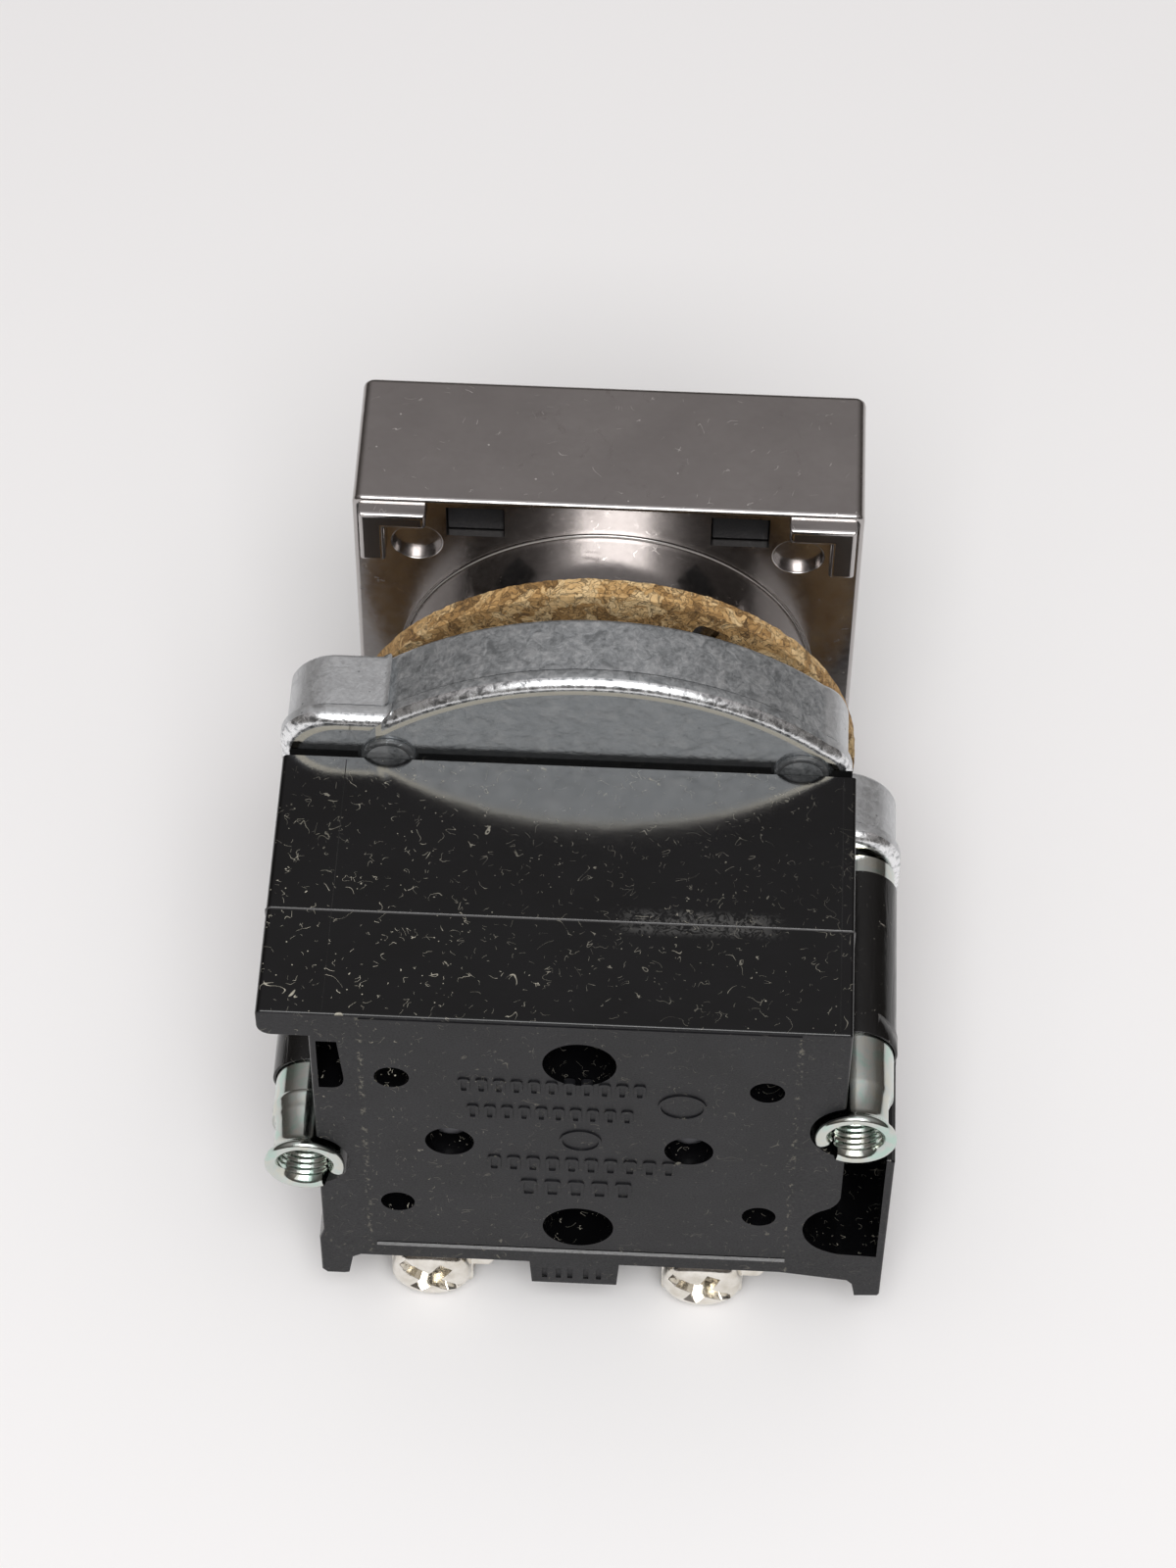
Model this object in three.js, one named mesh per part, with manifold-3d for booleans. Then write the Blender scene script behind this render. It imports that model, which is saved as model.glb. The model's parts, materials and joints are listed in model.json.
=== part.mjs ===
// Square-bezel pushbutton operator for a 30.5 mm panel hole, with its clamp flange and contact block.
//
// Everything is drawn in the device's own frame, in millimetres:
//   x to the right as seen from behind, y up, z from the front of the bezel (0) towards the rear.
// The last lines turn that frame so that the row has +Z up and the bezel faces +Y.

import * as THREE from 'three';
import { mergeVertices } from 'three/addons/utils/BufferGeometryUtils.js';
import Module from 'manifold-3d';

const wasm = await Module();
wasm.setup();

// ---------------------------------------------------------------- driving dimensions

const GAP = 0.3; // clearance between neighbouring pieces

const BEZEL_HALF = 22.25; // a 44.5 mm (1.75 in) square
const BEZEL_DEPTH = 14.2;
const BEZEL_CORNER = 0.9;
const PAD_REAR = 15.7; // raised corner pads on the back of the bezel
const NECK_RADIUS = 18.4;
const NECK_REAR = 22.1;
const CORK_RADIUS = 22.7;
const CORK_REAR = 24.6;
const HUB_RADIUS = 14.9; // passes through the 30.5 mm panel hole
const HUB_REAR = 38.9;

const FLANGE_FRONT = 31.3;
const LIP_FRONT = 37.0;
const FLANGE_REAR = 38.75;
const FLANGE_RADIUS = 28.5;
const FLANGE_SIDE = 21.7;
const EAR_SIDE = 26.5;
const EAR_FLAT = 22.5;

const BLOCK_FRONT = 39.5;
const BLOCK_SPLIT = 55.2; // parting plane of the two housing halves
const BLOCK_REAR = 65.48;
const BLOCK_LEFT = -22.0;
const BLOCK_RIGHT = 21.95;
const BLOCK_TOP = 18.37;
const BLOCK_BOTTOM = -18.8;
const BARRIER_BOTTOM = -22.2; // walls between and beside the terminals

const BUTTON_HALF = 16.9;
const BUTTON_FRONT = -2.2;
const STEM_RADIUS = 5.6;
const STEM_REAR = 32.2;

const TUBE_RADIUS = 3.1;
const TUBE_WAIST = 2.9; // just in front of the curled lip
const SLEEVE_RADIUS = 3.4;
const TUBE_REAR = 66.35; // end of the curled lip, the rearmost point
const TUBES = { left: [-23.1, -3.7], right: [22.95, 3.9] };
const PLUNGER_RADIUS = 1.75;
const PLUNGER_FRONT = 34.3;
const PLUNGER_REAR = 64.3;
const PLUNGERS = { left: [-10.8, 0.24], right: [9.2, 0.24] };
const BLOCK_SCREWS = { upper: [0, 12.6], lower: [0, -12.6] };
const CLAMP_SCREW = { tip: 36.0, seat: 57.0, top: 60.0, shank: 1.4, head: 1.6 };
const BLOCK_SCREW = { tip: 32.0, seat: 48.9, top: 51.6, shank: 1.5, head: 2.7 };
const PIN_X = 15.4;
const PIN_Y = 9.66;
const RIVET_X = 17.35;
const RIVET_Y = 17.9;

const CORNERS = {
  upper_left: [-1, 1],
  upper_right: [1, 1],
  lower_left: [-1, -1],
  lower_right: [1, -1],
};

// ---------------------------------------------------------------- materials

function material(color, roughness, metalness) {
  return new THREE.MeshStandardMaterial({ color, roughness, metalness });
}

const blackChrome = material(0x6f6a66, 0.2, 1.0);
const zinc = material(0x8f969c, 0.5, 0.9);
const steel = material(0xc3c8c6, 0.25, 1.0);
const nickel = material(0xdcd9d0, 0.2, 1.0);
const brass = material(0xc9a45c, 0.35, 1.0);
const copper = material(0xb87349, 0.35, 1.0);
const cork = material(0xc49a63, 0.95, 0.0);
const blackPlastic = material(0x2b2b2d, 0.45, 0.0);
const greyPlastic = material(0x55565a, 0.5, 0.0);
const sleevePlastic = material(0x1e1d1d, 0.25, 0.0);
const rubber = material(0x181818, 0.8, 0.0);
const buttonPlastic = material(0x1f7a46, 0.35, 0.0);

// ---------------------------------------------------------------- shape tools

/** Turns a closed three.js geometry into a solid that can be cut and joined. */
function solid(geometry) {
  const bare = geometry.clone();
  bare.deleteAttribute('normal');
  bare.deleteAttribute('uv');
  const merged = mergeVertices(bare, 1e-4);
  const corners = merged.index.array;
  const kept = [];
  for (let i = 0; i < corners.length; i += 3) {
    const [a, b, c] = [corners[i], corners[i + 1], corners[i + 2]];
    if (a !== b && b !== c && c !== a) kept.push(a, b, c);
  }
  return new wasm.Manifold(
    new wasm.Mesh({
      numProp: 3,
      vertProperties: new Float32Array(merged.attributes.position.array),
      triVerts: new Uint32Array(kept),
    }),
  );
}

/** Makes the named mesh of one piece from its solid. */
function piece(name, body, look) {
  const cut = body.getMesh();
  const geometry = new THREE.BufferGeometry();
  geometry.setAttribute('position', new THREE.BufferAttribute(cut.vertProperties, 3));
  geometry.setIndex(new THREE.BufferAttribute(cut.triVerts, 1));
  const mesh = new THREE.Mesh(geometry, look);
  mesh.name = name;
  return mesh;
}

function union(bodies) {
  return bodies.reduce((sum, body) => sum.add(body));
}

function cutAll(body, tools) {
  return tools.reduce((left, tool) => left.subtract(tool), body);
}

function block(x0, x1, y0, y1, z0, z1) {
  const box = new THREE.BoxGeometry(x1 - x0, y1 - y0, z1 - z0);
  return solid(box.translate((x0 + x1) / 2, (y0 + y1) / 2, (z0 + z1) / 2));
}

function rod(radius, z0, z1, [x, y] = [0, 0], sides = 24) {
  const cylinder = new THREE.CylinderGeometry(radius, radius, z1 - z0, sides);
  return solid(cylinder.rotateX(Math.PI / 2).translate(x, y, (z0 + z1) / 2));
}

/** A prism from an outline in x and y, with an optional bevel on both ends. */
function prism(shape, z0, z1, { bevel = 0, segments = 2 } = {}) {
  const geometry = new THREE.ExtrudeGeometry(shape, {
    depth: z1 - z0 - 2 * bevel,
    curveSegments: segments,
    bevelEnabled: bevel > 0,
    bevelThickness: bevel,
    bevelSize: bevel,
    bevelOffset: -bevel,
    bevelSegments: 1,
  });
  return solid(geometry.translate(0, 0, z0 + bevel));
}

/** A turned body: profile points are [radius, z] and close on themselves or end on the axis. */
function turned(profile, [x, y] = [0, 0], sides = 32) {
  const points = profile.map(([radius, z]) => new THREE.Vector2(radius, z));
  const lathe = new THREE.LatheGeometry(points, sides);
  return solid(lathe.rotateX(Math.PI / 2).translate(x, y, 0));
}

/** The same as turned, for a profile given as a closed ring of points around its section. */
function turnedRing(section, centre, sides) {
  const closed = [...section, section[0]];
  const points = closed.map(([radius, z]) => new THREE.Vector2(radius, z));
  const lathe = new THREE.LatheGeometry(points, sides);
  return solid(lathe.rotateX(Math.PI / 2).translate(centre[0], centre[1], 0));
}

function roundedRect(halfX, halfY, corner) {
  const shape = new THREE.Shape();
  shape.moveTo(halfX, -halfY + corner);
  shape.lineTo(halfX, halfY - corner);
  shape.absarc(halfX - corner, halfY - corner, corner, 0, Math.PI / 2, false);
  shape.lineTo(-halfX + corner, halfY);
  shape.absarc(-halfX + corner, halfY - corner, corner, Math.PI / 2, Math.PI, false);
  shape.lineTo(-halfX, -halfY + corner);
  shape.absarc(-halfX + corner, -halfY + corner, corner, Math.PI, 1.5 * Math.PI, false);
  shape.lineTo(halfX - corner, -halfY);
  shape.absarc(halfX - corner, -halfY + corner, corner, 1.5 * Math.PI, 2 * Math.PI, false);
  return shape;
}

function outline(points) {
  return new THREE.Shape(points.map(([x, y]) => new THREE.Vector2(x, y)));
}

class Helix extends THREE.Curve {
  constructor(radius, z0, z1, turns) {
    super();
    Object.assign(this, { radius, z0, z1, turns });
  }

  getPoint(t, target = new THREE.Vector3()) {
    const angle = 2 * Math.PI * this.turns * t;
    const z = this.z0 + (this.z1 - this.z0) * t;
    return target.set(this.radius * Math.cos(angle), this.radius * Math.sin(angle), z);
  }
}

/** A coil spring along z, from its wire's lower side at z0 to its upper side at z1. */
function coilSpring({ radius, wire, z0, z1, turns, centre = [0, 0], steps = 8, sides = 3 }) {
  const section = new THREE.Shape();
  section.absarc(0, 0, wire, 0, 2 * Math.PI, false);
  const geometry = new THREE.ExtrudeGeometry(section, {
    steps: Math.round(turns * steps),
    curveSegments: sides,
    bevelEnabled: false,
    extrudePath: new Helix(radius, z0 + wire, z1 - wire, turns),
  });
  return solid(geometry.translate(centre[0], centre[1], 0));
}

// ---------------------------------------------------------------- operator, in front of the panel

const CAVITY_HALF = 17.25; // the square well that the button moves in
const CAVITY_REAR = 11.2;
const FRAME_HALF = 20.3; // black frame let into the front of the bezel
const FRAME_REAR = 2.9;
const LEG = { inner: 9.0, outer: 14.1, low: 17.7, high: 21.4 }; // slots for the frame's snap legs
const RECESS = { x: 16.7, y: 16.6, radius: 2.2, floor: 13.4 };
const HUB_SEAT_FRONT = 17.0;
const HUB_SEAT_RADIUS = 16.3;

function cornerPad([sx, sy]) {
  const arm = [
    [15.8, 20.0],
    [19.4, 20.0],
    [19.4, 14.2],
    [21.6, 14.2],
    [21.6, 21.75],
    [15.8, 21.75],
  ];
  const points = arm.map(([x, y]) => [sx * x, sy * y]);
  return prism(outline(sx * sy > 0 ? points : points.reverse()), BEZEL_DEPTH - 1, PAD_REAR);
}

function legSlot([sx, sy], shrink, z0, z1) {
  const low = LEG.low + shrink;
  const x0 = sx > 0 ? LEG.inner + shrink : -LEG.outer + shrink;
  const x1 = sx > 0 ? LEG.outer - shrink : -LEG.inner - shrink;
  const y0 = sy > 0 ? low : -LEG.high + shrink;
  const y1 = sy > 0 ? LEG.high - shrink : -low;
  return block(x0, x1, y0, y1, z0, z1);
}

function bezelHousing() {
  const corners = Object.values(CORNERS);
  const head = prism(roundedRect(BEZEL_HALF, BEZEL_HALF, BEZEL_CORNER), 0, BEZEL_DEPTH, { bevel: 0.5 });
  const neck = rod(NECK_RADIUS, BEZEL_DEPTH - 1, NECK_REAR, [0, 0], 56);
  const body = union([head, neck, ...corners.map(cornerPad)]);
  return piece(
    'bezel_housing',
    cutAll(body, [
      prism(roundedRect(CAVITY_HALF, CAVITY_HALF, 2.4), -1, CAVITY_REAR),
      prism(roundedRect(FRAME_HALF + GAP, FRAME_HALF + GAP, 1.6), -1, FRAME_REAR + GAP),
      rod(12.5, CAVITY_REAR - 1, NECK_REAR + 1, [0, 0], 36),
      rod(HUB_SEAT_RADIUS, HUB_SEAT_FRONT, NECK_REAR + 1, [0, 0], 48),
      ...corners.map((corner) => legSlot(corner, 0, FRAME_REAR, BEZEL_DEPTH + 1)),
      ...corners.map(([sx, sy]) =>
        rod(RECESS.radius, RECESS.floor, PAD_REAR + 1, [sx * RECESS.x, sy * RECESS.y], 16),
      ),
    ]),
    blackChrome,
  );
}

function frontFrame() {
  const ring = prism(roundedRect(FRAME_HALF, FRAME_HALF, 1.4), 0.7, FRAME_REAR);
  const opening = prism(roundedRect(CAVITY_HALF + 0.2, CAVITY_HALF + 0.2, 2.5), 0, FRAME_REAR + 1);
  const legs = Object.values(CORNERS).map((corner) =>
    union([
      legSlot(corner, GAP, FRAME_REAR + 0.8, 13.4),
      legSlot(corner, GAP, FRAME_REAR - 0.6, FRAME_REAR + 1).intersect(
        block(-20, 20, -FRAME_HALF, FRAME_HALF, 0, 5),
      ),
    ]),
  );
  return piece('front_frame', union([ring.subtract(opening), ...legs]), blackPlastic);
}

function buttonCap() {
  const skirtRear = 5.5;
  const face = prism(roundedRect(BUTTON_HALF, BUTTON_HALF, 2.2), BUTTON_FRONT, skirtRear, { bevel: 0.8 });
  const inside = prism(roundedRect(15.2, 15.2, 1.2), 0.4, skirtRear + 1);
  return piece('button_cap', face.subtract(inside), buttonPlastic);
}

function buttonCarrier() {
  const tray = prism(roundedRect(14.9, 14.9, 1.0), 0.8, 4.6);
  const stem = turned(
    [
      [0, 4],
      [9.0, 4],
      [9.0, 7.0],
      [STEM_RADIUS, 7.0],
      [STEM_RADIUS, STEM_REAR],
      [2.3, STEM_REAR],
      [2.3, 34.8],
      [0, 34.8],
    ],
    [0, 0],
    32,
  );
  return piece('button_carrier', union([tray, stem]), greyPlastic);
}

function returnSpring() {
  return piece(
    'return_spring',
    coilSpring({ radius: 7.5, wire: 0.5, z0: 7.3, z1: 16.9, turns: 5, steps: 12 }),
    steel,
  );
}

const SEAL_CAVITY = { front: 27.0, rear: 31.5, radius: 8.5 };
const PUSHER = { front: 32.5, rear: 34.0, halfX: 12.9, halfY: 3.6 };

function mountingHub() {
  const shoulder = rod(HUB_SEAT_RADIUS - GAP, HUB_SEAT_FRONT + GAP, NECK_REAR - GAP, [0, 0], 48);
  const barrel = rod(HUB_RADIUS, HUB_SEAT_FRONT + 2, HUB_REAR, [0, 0], 48);
  const pusherWell = prism(
    roundedRect(PUSHER.halfX + 0.5, PUSHER.halfY + 0.8, 2.0),
    SEAL_CAVITY.rear - 0.1,
    HUB_REAR + 1,
  );
  return piece(
    'mounting_hub',
    cutAll(union([shoulder, barrel]), [
      rod(STEM_RADIUS + GAP, 0, HUB_REAR + 1, [0, 0], 32),
      rod(SEAL_CAVITY.radius, SEAL_CAVITY.front, SEAL_CAVITY.rear, [0, 0], 32),
      pusherWell,
      ...Object.values(BLOCK_SCREWS).map((centre) => rod(1.8, 31.0, HUB_REAR + 1, centre, 12)),
    ]),
    zinc,
  );
}

function stemSeal() {
  const lip = [
    [5.75, 27.3],
    [8.2, 27.3],
    [8.2, 29.2],
    [6.6, 29.2],
    [5.75, 28.6],
  ];
  return piece('stem_seal', turnedRing(lip, [0, 0], 24), rubber);
}

function sealWasher() {
  const section = [
    [6.0, 29.5],
    [8.2, 29.5],
    [8.2, 30.4],
    [6.0, 30.4],
  ];
  return piece('seal_washer', turnedRing(section, [0, 0], 24), steel);
}

function corkGasket() {
  const disc = rod(CORK_RADIUS, NECK_REAR + GAP, CORK_REAR, [0, 0], 64);
  const notch = prism(roundedRect(1.6, 3.4, 0.6), NECK_REAR - 1, CORK_REAR + 1);
  const notchAngle = -0.48;
  const turn = new THREE.Matrix4().makeRotationZ(notchAngle);
  const out = new THREE.Matrix4().makeTranslation(0, 17.6, 0);
  return piece(
    'cork_gasket',
    cutAll(disc, [
      rod(HUB_RADIUS + 0.4, NECK_REAR - 1, CORK_REAR + 1, [0, 0], 48),
      notch.transform(turn.multiply(out).elements),
    ]),
    cork,
  );
}

function pusherPlate() {
  const bar = prism(roundedRect(PUSHER.halfX, PUSHER.halfY, 1.6), PUSHER.front, PUSHER.rear);
  return piece('pusher_plate', bar.subtract(rod(2.6, 30, 36)), steel);
}

function stemClip() {
  const section = [
    [2.5, 34.25],
    [4.0, 34.25],
    [4.0, 34.75],
    [2.5, 34.75],
  ];
  const ring = turnedRing(section, [0, 0], 24);
  return piece('stem_clip', ring.subtract(block(-1, 1, 0, 6, 33, 36)), steel);
}

// ---------------------------------------------------------------- clamp flange, behind the panel

/** Half of the flange's outline, from the upper left round to the lower right; turn is 1 or -1. */
function flangeHalf(shape, turn, inset) {
  const radius = FLANGE_RADIUS - inset;
  const side = FLANGE_SIDE - inset;
  const ear = EAR_SIDE - inset;
  const flat = EAR_FLAT - inset;
  const stepX = 17.0 + inset;
  const spin = turn > 0 ? 0 : Math.PI;
  const startAngle = Math.acos(-stepX / radius);
  const endAngle = Math.acos((side - 2.2) / radius);
  const arc = (cx, cy, r, from, to) => shape.absarc(turn * cx, turn * cy, r, from + spin, to + spin, true);
  shape.lineTo(-turn * stepX, turn * radius * Math.sin(startAngle));
  arc(0, 0, radius, startAngle, Math.PI / 2);
  arc(0, 0, radius, Math.PI / 2, endAngle);
  shape.quadraticCurveTo(turn * side, turn * 19.4, turn * side, turn * 16.4);
  shape.lineTo(turn * side, turn * (9.05 - inset));
  arc(ear - 4.7, 4.35 - inset, 4.7, Math.PI / 2, 0);
  arc(ear - 4.0, -flat + 4.0, 4.0, 0, -Math.PI / 2);
  shape.lineTo(turn * stepX, -turn * flat);
}

function flangeOutline(inset) {
  const shape = new THREE.Shape();
  shape.moveTo(-17.0 - inset, EAR_FLAT - inset);
  flangeHalf(shape, 1, inset);
  flangeHalf(shape, -1, inset);
  return shape;
}

function clampFlange() {
  const body = prism(flangeOutline(0.4), FLANGE_FRONT, LIP_FRONT + 0.5, { segments: 4 });
  const lip = prism(flangeOutline(0), LIP_FRONT, FLANGE_REAR, { bevel: 0.4, segments: 4 });
  const holes = Object.values(CORNERS).map(([sx, sy]) =>
    rod(1.5, FLANGE_FRONT - 1, FLANGE_REAR + 1, [sx * RIVET_X, sy * RIVET_Y], 12),
  );
  const screwSeats = Object.values(TUBES).map((centre) =>
    rod(1.9, CLAMP_SCREW.tip - GAP, FLANGE_REAR + 1, centre, 16),
  );
  const hubHole = rod(HUB_RADIUS + 0.4, FLANGE_FRONT - 1, FLANGE_REAR + 1, [0, 0], 48);
  return piece('clamp_flange', cutAll(union([body, lip]), [hubHole, ...holes, ...screwSeats]), zinc);
}

function flangeRivet(name, [sx, sy]) {
  const profile = [
    [0, FLANGE_FRONT + 0.6],
    [1.2, FLANGE_FRONT + 0.6],
    [1.2, FLANGE_REAR + 0.05],
    [2.3, FLANGE_REAR + 0.05],
    [2.3, FLANGE_REAR + 0.2],
    [2.0, FLANGE_REAR + 0.45],
    [0, FLANGE_REAR + 0.45],
  ];
  return piece(`flange_rivet_${name}`, turned(profile, [sx * RIVET_X, sy * RIVET_Y], 18), steel);
}

/** The fibre card between the flange and the block, cut out round the hub, the rivets and the tubes. */
function blockGasket() {
  const section = outline([
    [21.6, BLOCK_TOP],
    [-25.6, BLOCK_TOP],
    [-25.6, 16.0],
    [-21.7, 15.0],
    [-21.7, -BLOCK_TOP],
    [21.6, -BLOCK_TOP],
  ]);
  const front = FLANGE_REAR + 0.05;
  const rear = BLOCK_FRONT - 0.05;
  const hole = (radius, centre, sides) => rod(radius, front - 1, rear + 1, centre, sides);
  return piece(
    'block_gasket',
    cutAll(prism(section, front, rear), [
      hole(HUB_RADIUS + 0.4, [0, 0], 48),
      ...Object.values(CORNERS).map(([sx, sy]) => hole(2.6, [sx * RIVET_X, sy * RIVET_Y], 16)),
      ...Object.values(TUBES).map((centre) => hole(TUBE_RADIUS + GAP, centre, 20)),
    ]),
    blackPlastic,
  );
}

// ---------------------------------------------------------------- contact block housings

const CHAMBERS = [
  [-18.0, -3.6],
  [2.0, 16.4],
];
const CHAMBER_Y = 7.7;
const CHAMBER_FRONT = 42.0;
const CHAMBER_REAR = 62.5;
const STRIP = 0.8; // thickness of the contact strips
const TIERS = { front: 46.0, rear: 60.0 }; // front faces of the two rows of terminals
const DROPS = { left: [-13.2, -9.4], right: [7.6, 11.4] };

/** The block's section as seen from behind: slab, overhangs, and the barriers below the terminals. */
function blockOutline() {
  const footLeft = [-22.4, -20.0];
  const footRight = [24.2, 26.4];
  return outline([
    [BLOCK_RIGHT, BLOCK_TOP],
    [-26.2, BLOCK_TOP],
    [-26.2, 16.2],
    [-25.0, 15.0],
    [BLOCK_LEFT, 15.0],
    [BLOCK_LEFT, -15.0],
    [footLeft[0], -16.5],
    [footLeft[0], BARRIER_BOTTOM],
    [footLeft[1], BARRIER_BOTTOM],
    [-19.2, BLOCK_BOTTOM],
    [-4.2, BLOCK_BOTTOM],
    [-4.0, BARRIER_BOTTOM],
    [3.4, BARRIER_BOTTOM],
    [3.6, BLOCK_BOTTOM],
    [17.5, BLOCK_BOTTOM],
    [23.4, BLOCK_BOTTOM - 0.9],
    [footRight[0], BARRIER_BOTTOM],
    [footRight[1], BARRIER_BOTTOM],
    [26.45, -0.1],
    [BLOCK_RIGHT, -0.1],
  ]);
}

/** The deep pocket in the lower right of the rear face. */
function sidePocket() {
  const shape = new THREE.Shape();
  shape.moveTo(25.75, 1.0);
  shape.lineTo(22.2, 1.0);
  shape.lineTo(22.2, -6.2);
  shape.quadraticCurveTo(22.0, -7.8, 20.6, -8.5);
  shape.quadraticCurveTo(19.2, -9.6, 19.2, -11.6);
  shape.quadraticCurveTo(19.4, -14.6, 22.4, -15.4);
  shape.lineTo(25.75, -15.6);
  return prism(shape, 47.0, BLOCK_REAR + 1);
}

function housingCuts() {
  const tubeGrooves = Object.values(TUBES).map((centre) =>
    rod(SLEEVE_RADIUS + 0.4, BLOCK_FRONT - 1, BLOCK_REAR + 1, centre, 24),
  );
  const pinHoles = Object.values(CORNERS).map(([sx, sy]) =>
    rod(1.45, 40.7, BLOCK_REAR + 1, [sx * PIN_X, sy * PIN_Y], 12),
  );
  const screwWells = Object.values(BLOCK_SCREWS).flatMap((centre) => [
    rod(3.03, 48.6, BLOCK_REAR + 1, centre, 20),
    rod(1.8, BLOCK_FRONT - 1, 49.0, centre, 12),
  ]);
  const plungerBores = Object.values(PLUNGERS).map((centre) =>
    rod(2.05, BLOCK_FRONT - 1, BLOCK_REAR + 1, centre, 16),
  );
  const chambers = CHAMBERS.map(([x0, x1]) =>
    block(x0, x1, -CHAMBER_Y, CHAMBER_Y, CHAMBER_FRONT, CHAMBER_REAR),
  );
  const dropSlots = Object.values(DROPS).flatMap(([x0, x1]) =>
    Object.values(TIERS).map((z) =>
      block(x0 - GAP, x1 + GAP, BLOCK_BOTTOM - 1, -CHAMBER_Y + 1, z - GAP, z + STRIP + GAP),
    ),
  );
  const sideRecess = block(-21.4, -19.5, 7.6, 14.4, 58.0, BLOCK_REAR + 1);
  return [
    ...tubeGrooves,
    ...pinHoles,
    ...screwWells,
    ...plungerBores,
    ...chambers,
    ...dropSlots,
    sidePocket(),
    sideRecess,
  ];
}

function housings() {
  const cuts = housingCuts();
  const section = blockOutline();
  const front = cutAll(prism(section, BLOCK_FRONT, BLOCK_SPLIT - GAP / 2), cuts);
  const rear = cutAll(prism(section, BLOCK_SPLIT + GAP / 2, BLOCK_REAR), cuts);
  return [piece('front_housing', front, blackPlastic), piece('rear_housing', rear, blackPlastic)];
}

// ---------------------------------------------------------------- contacts inside the block

const BRIDGE_FRONT = 50.0; // both bridges at rest
const BRIDGE_HALF = 6.6;
const CAGE_HALF_X = 2.4;
const CAGE_HALF_Y = 3.2;
const CAGE_WALL = 1.2;

// The left contact is normally open and the right one normally closed.
// window: the slot along z that the bridge floats in; fixed: front face of the fixed contacts
const CONTACTS = {
  left: { window: [45.5, 51.1], spring: [45.6, 49.9], fixed: 53.0 },
  right: { window: [47.7, 55.0], spring: [50.9, 54.9], fixed: 48.9 },
};

function plunger(side) {
  const [x, y] = PLUNGERS[side];
  const [w0, w1] = CONTACTS[side].window;
  const shaft = turned(
    [
      [0, PLUNGER_FRONT],
      [1.3, PLUNGER_FRONT],
      [PLUNGER_RADIUS, PLUNGER_FRONT + 0.5],
      [PLUNGER_RADIUS, PLUNGER_REAR - 1.0],
      [1.3, PLUNGER_REAR - 0.3],
      [0.6, PLUNGER_REAR],
      [0, PLUNGER_REAR],
    ],
    [x, y],
    16,
  );
  const cage = block(
    x - CAGE_HALF_X,
    x + CAGE_HALF_X,
    y - CAGE_HALF_Y,
    y + CAGE_HALF_Y,
    w0 - CAGE_WALL,
    w1 + CAGE_WALL,
  );
  const window = block(x - 5, x + 5, y - 2.0, y + 2.0, w0, w1);
  return piece(`plunger_${side}`, union([shaft, cage]).subtract(window), greyPlastic);
}

function contactBridge(side) {
  const [x, y] = PLUNGERS[side];
  const bar = block(x - BRIDGE_HALF, x + BRIDGE_HALF, y - 1.5, y + 1.5, BRIDGE_FRONT, BRIDGE_FRONT + STRIP);
  return piece(`contact_bridge_${side}`, bar, copper);
}

function bridgeSpring(side) {
  const [z0, z1] = CONTACTS[side].spring;
  return piece(
    `bridge_spring_${side}`,
    coilSpring({ radius: 1.2, wire: 0.18, z0, z1, turns: 3, centre: PLUNGERS[side] }),
    steel,
  );
}

function plungerSpring(side) {
  const z0 = CONTACTS[side].window[1] + CAGE_WALL + 0.1;
  return piece(
    `plunger_spring_${side}`,
    coilSpring({
      radius: 2.35,
      wire: 0.22,
      z0,
      z1: CHAMBER_REAR - 0.1,
      turns: 3,
      centre: PLUNGERS[side],
    }),
    steel,
  );
}

// tongue: the end under the bridge; the shelf carries it along z to its tier and the drop takes it down
const STRIPS = {
  left_front: { side: 'left', tongue: [-17.6, -14.6], tier: 'front', shelf: [46.0, 51.0] },
  left_rear: { side: 'left', tongue: [-7.0, -4.0], tier: 'rear', shelf: [55.6, 60.8] },
  right_front: { side: 'right', tongue: [13.0, 16.0], tier: 'front', shelf: [46.0, 48.0] },
  right_rear: { side: 'right', tongue: [2.4, 5.4], tier: 'rear', shelf: [55.6, 60.8] },
};
const SCREW_X = { left: -13.0, right: 10.9 };
const SCREW_Y = -24.6;
const SCREW_HEAD = 3.5;
const PLATE_HALF = 3.6;
const PLATE_LUG = 5.5; // reach of the small lug beside the screw, from the screw's axis

function contactStrip(name) {
  const { side, tongue, tier, shelf } = STRIPS[name];
  const [t0, t1] = tongue;
  const [d0, d1] = DROPS[side];
  const contactZ = CONTACTS[side].fixed;
  const tierZ = TIERS[tier];
  const shelfLow = -7.2;
  const shelfHigh = shelfLow + STRIP;
  const screwX = SCREW_X[side];
  const body = union([
    block(t0, t1, shelfLow, 1.6, contactZ, contactZ + STRIP),
    block(t0, t1, shelfLow, shelfHigh, Math.min(contactZ, tierZ), Math.max(contactZ, tierZ) + STRIP),
    block(Math.min(t0, d0), Math.max(t1, d1), shelfLow, shelfHigh, ...shelf),
    block(d0, d1, -20.2, shelfHigh, tierZ, tierZ + STRIP),
    block(screwX - PLATE_HALF, screwX + PLATE_HALF, SCREW_Y - PLATE_HALF, -19.6, tierZ, tierZ + STRIP),
  ]);
  const hole = rod(1.9, tierZ - 1, tierZ + 2, [screwX, SCREW_Y], 16);
  return piece(`terminal_strip_${name}`, body.subtract(hole), brass);
}

function pressurePlate(name) {
  const { side, tier } = STRIPS[name];
  const z = TIERS[tier] + STRIP + GAP;
  const x = SCREW_X[side];
  const plate = block(x - PLATE_HALF, x + PLATE_HALF, SCREW_Y - PLATE_HALF, SCREW_Y + PLATE_HALF, z, z + 1);
  const lug = block(x, x + PLATE_LUG, SCREW_Y - 0.8, SCREW_Y + 0.8, z, z + 1);
  const hole = rod(1.9, z - 1, z + 2, [x, SCREW_Y], 16);
  return piece(`pressure_plate_${name}`, union([plate, lug]).subtract(hole), nickel);
}

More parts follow.
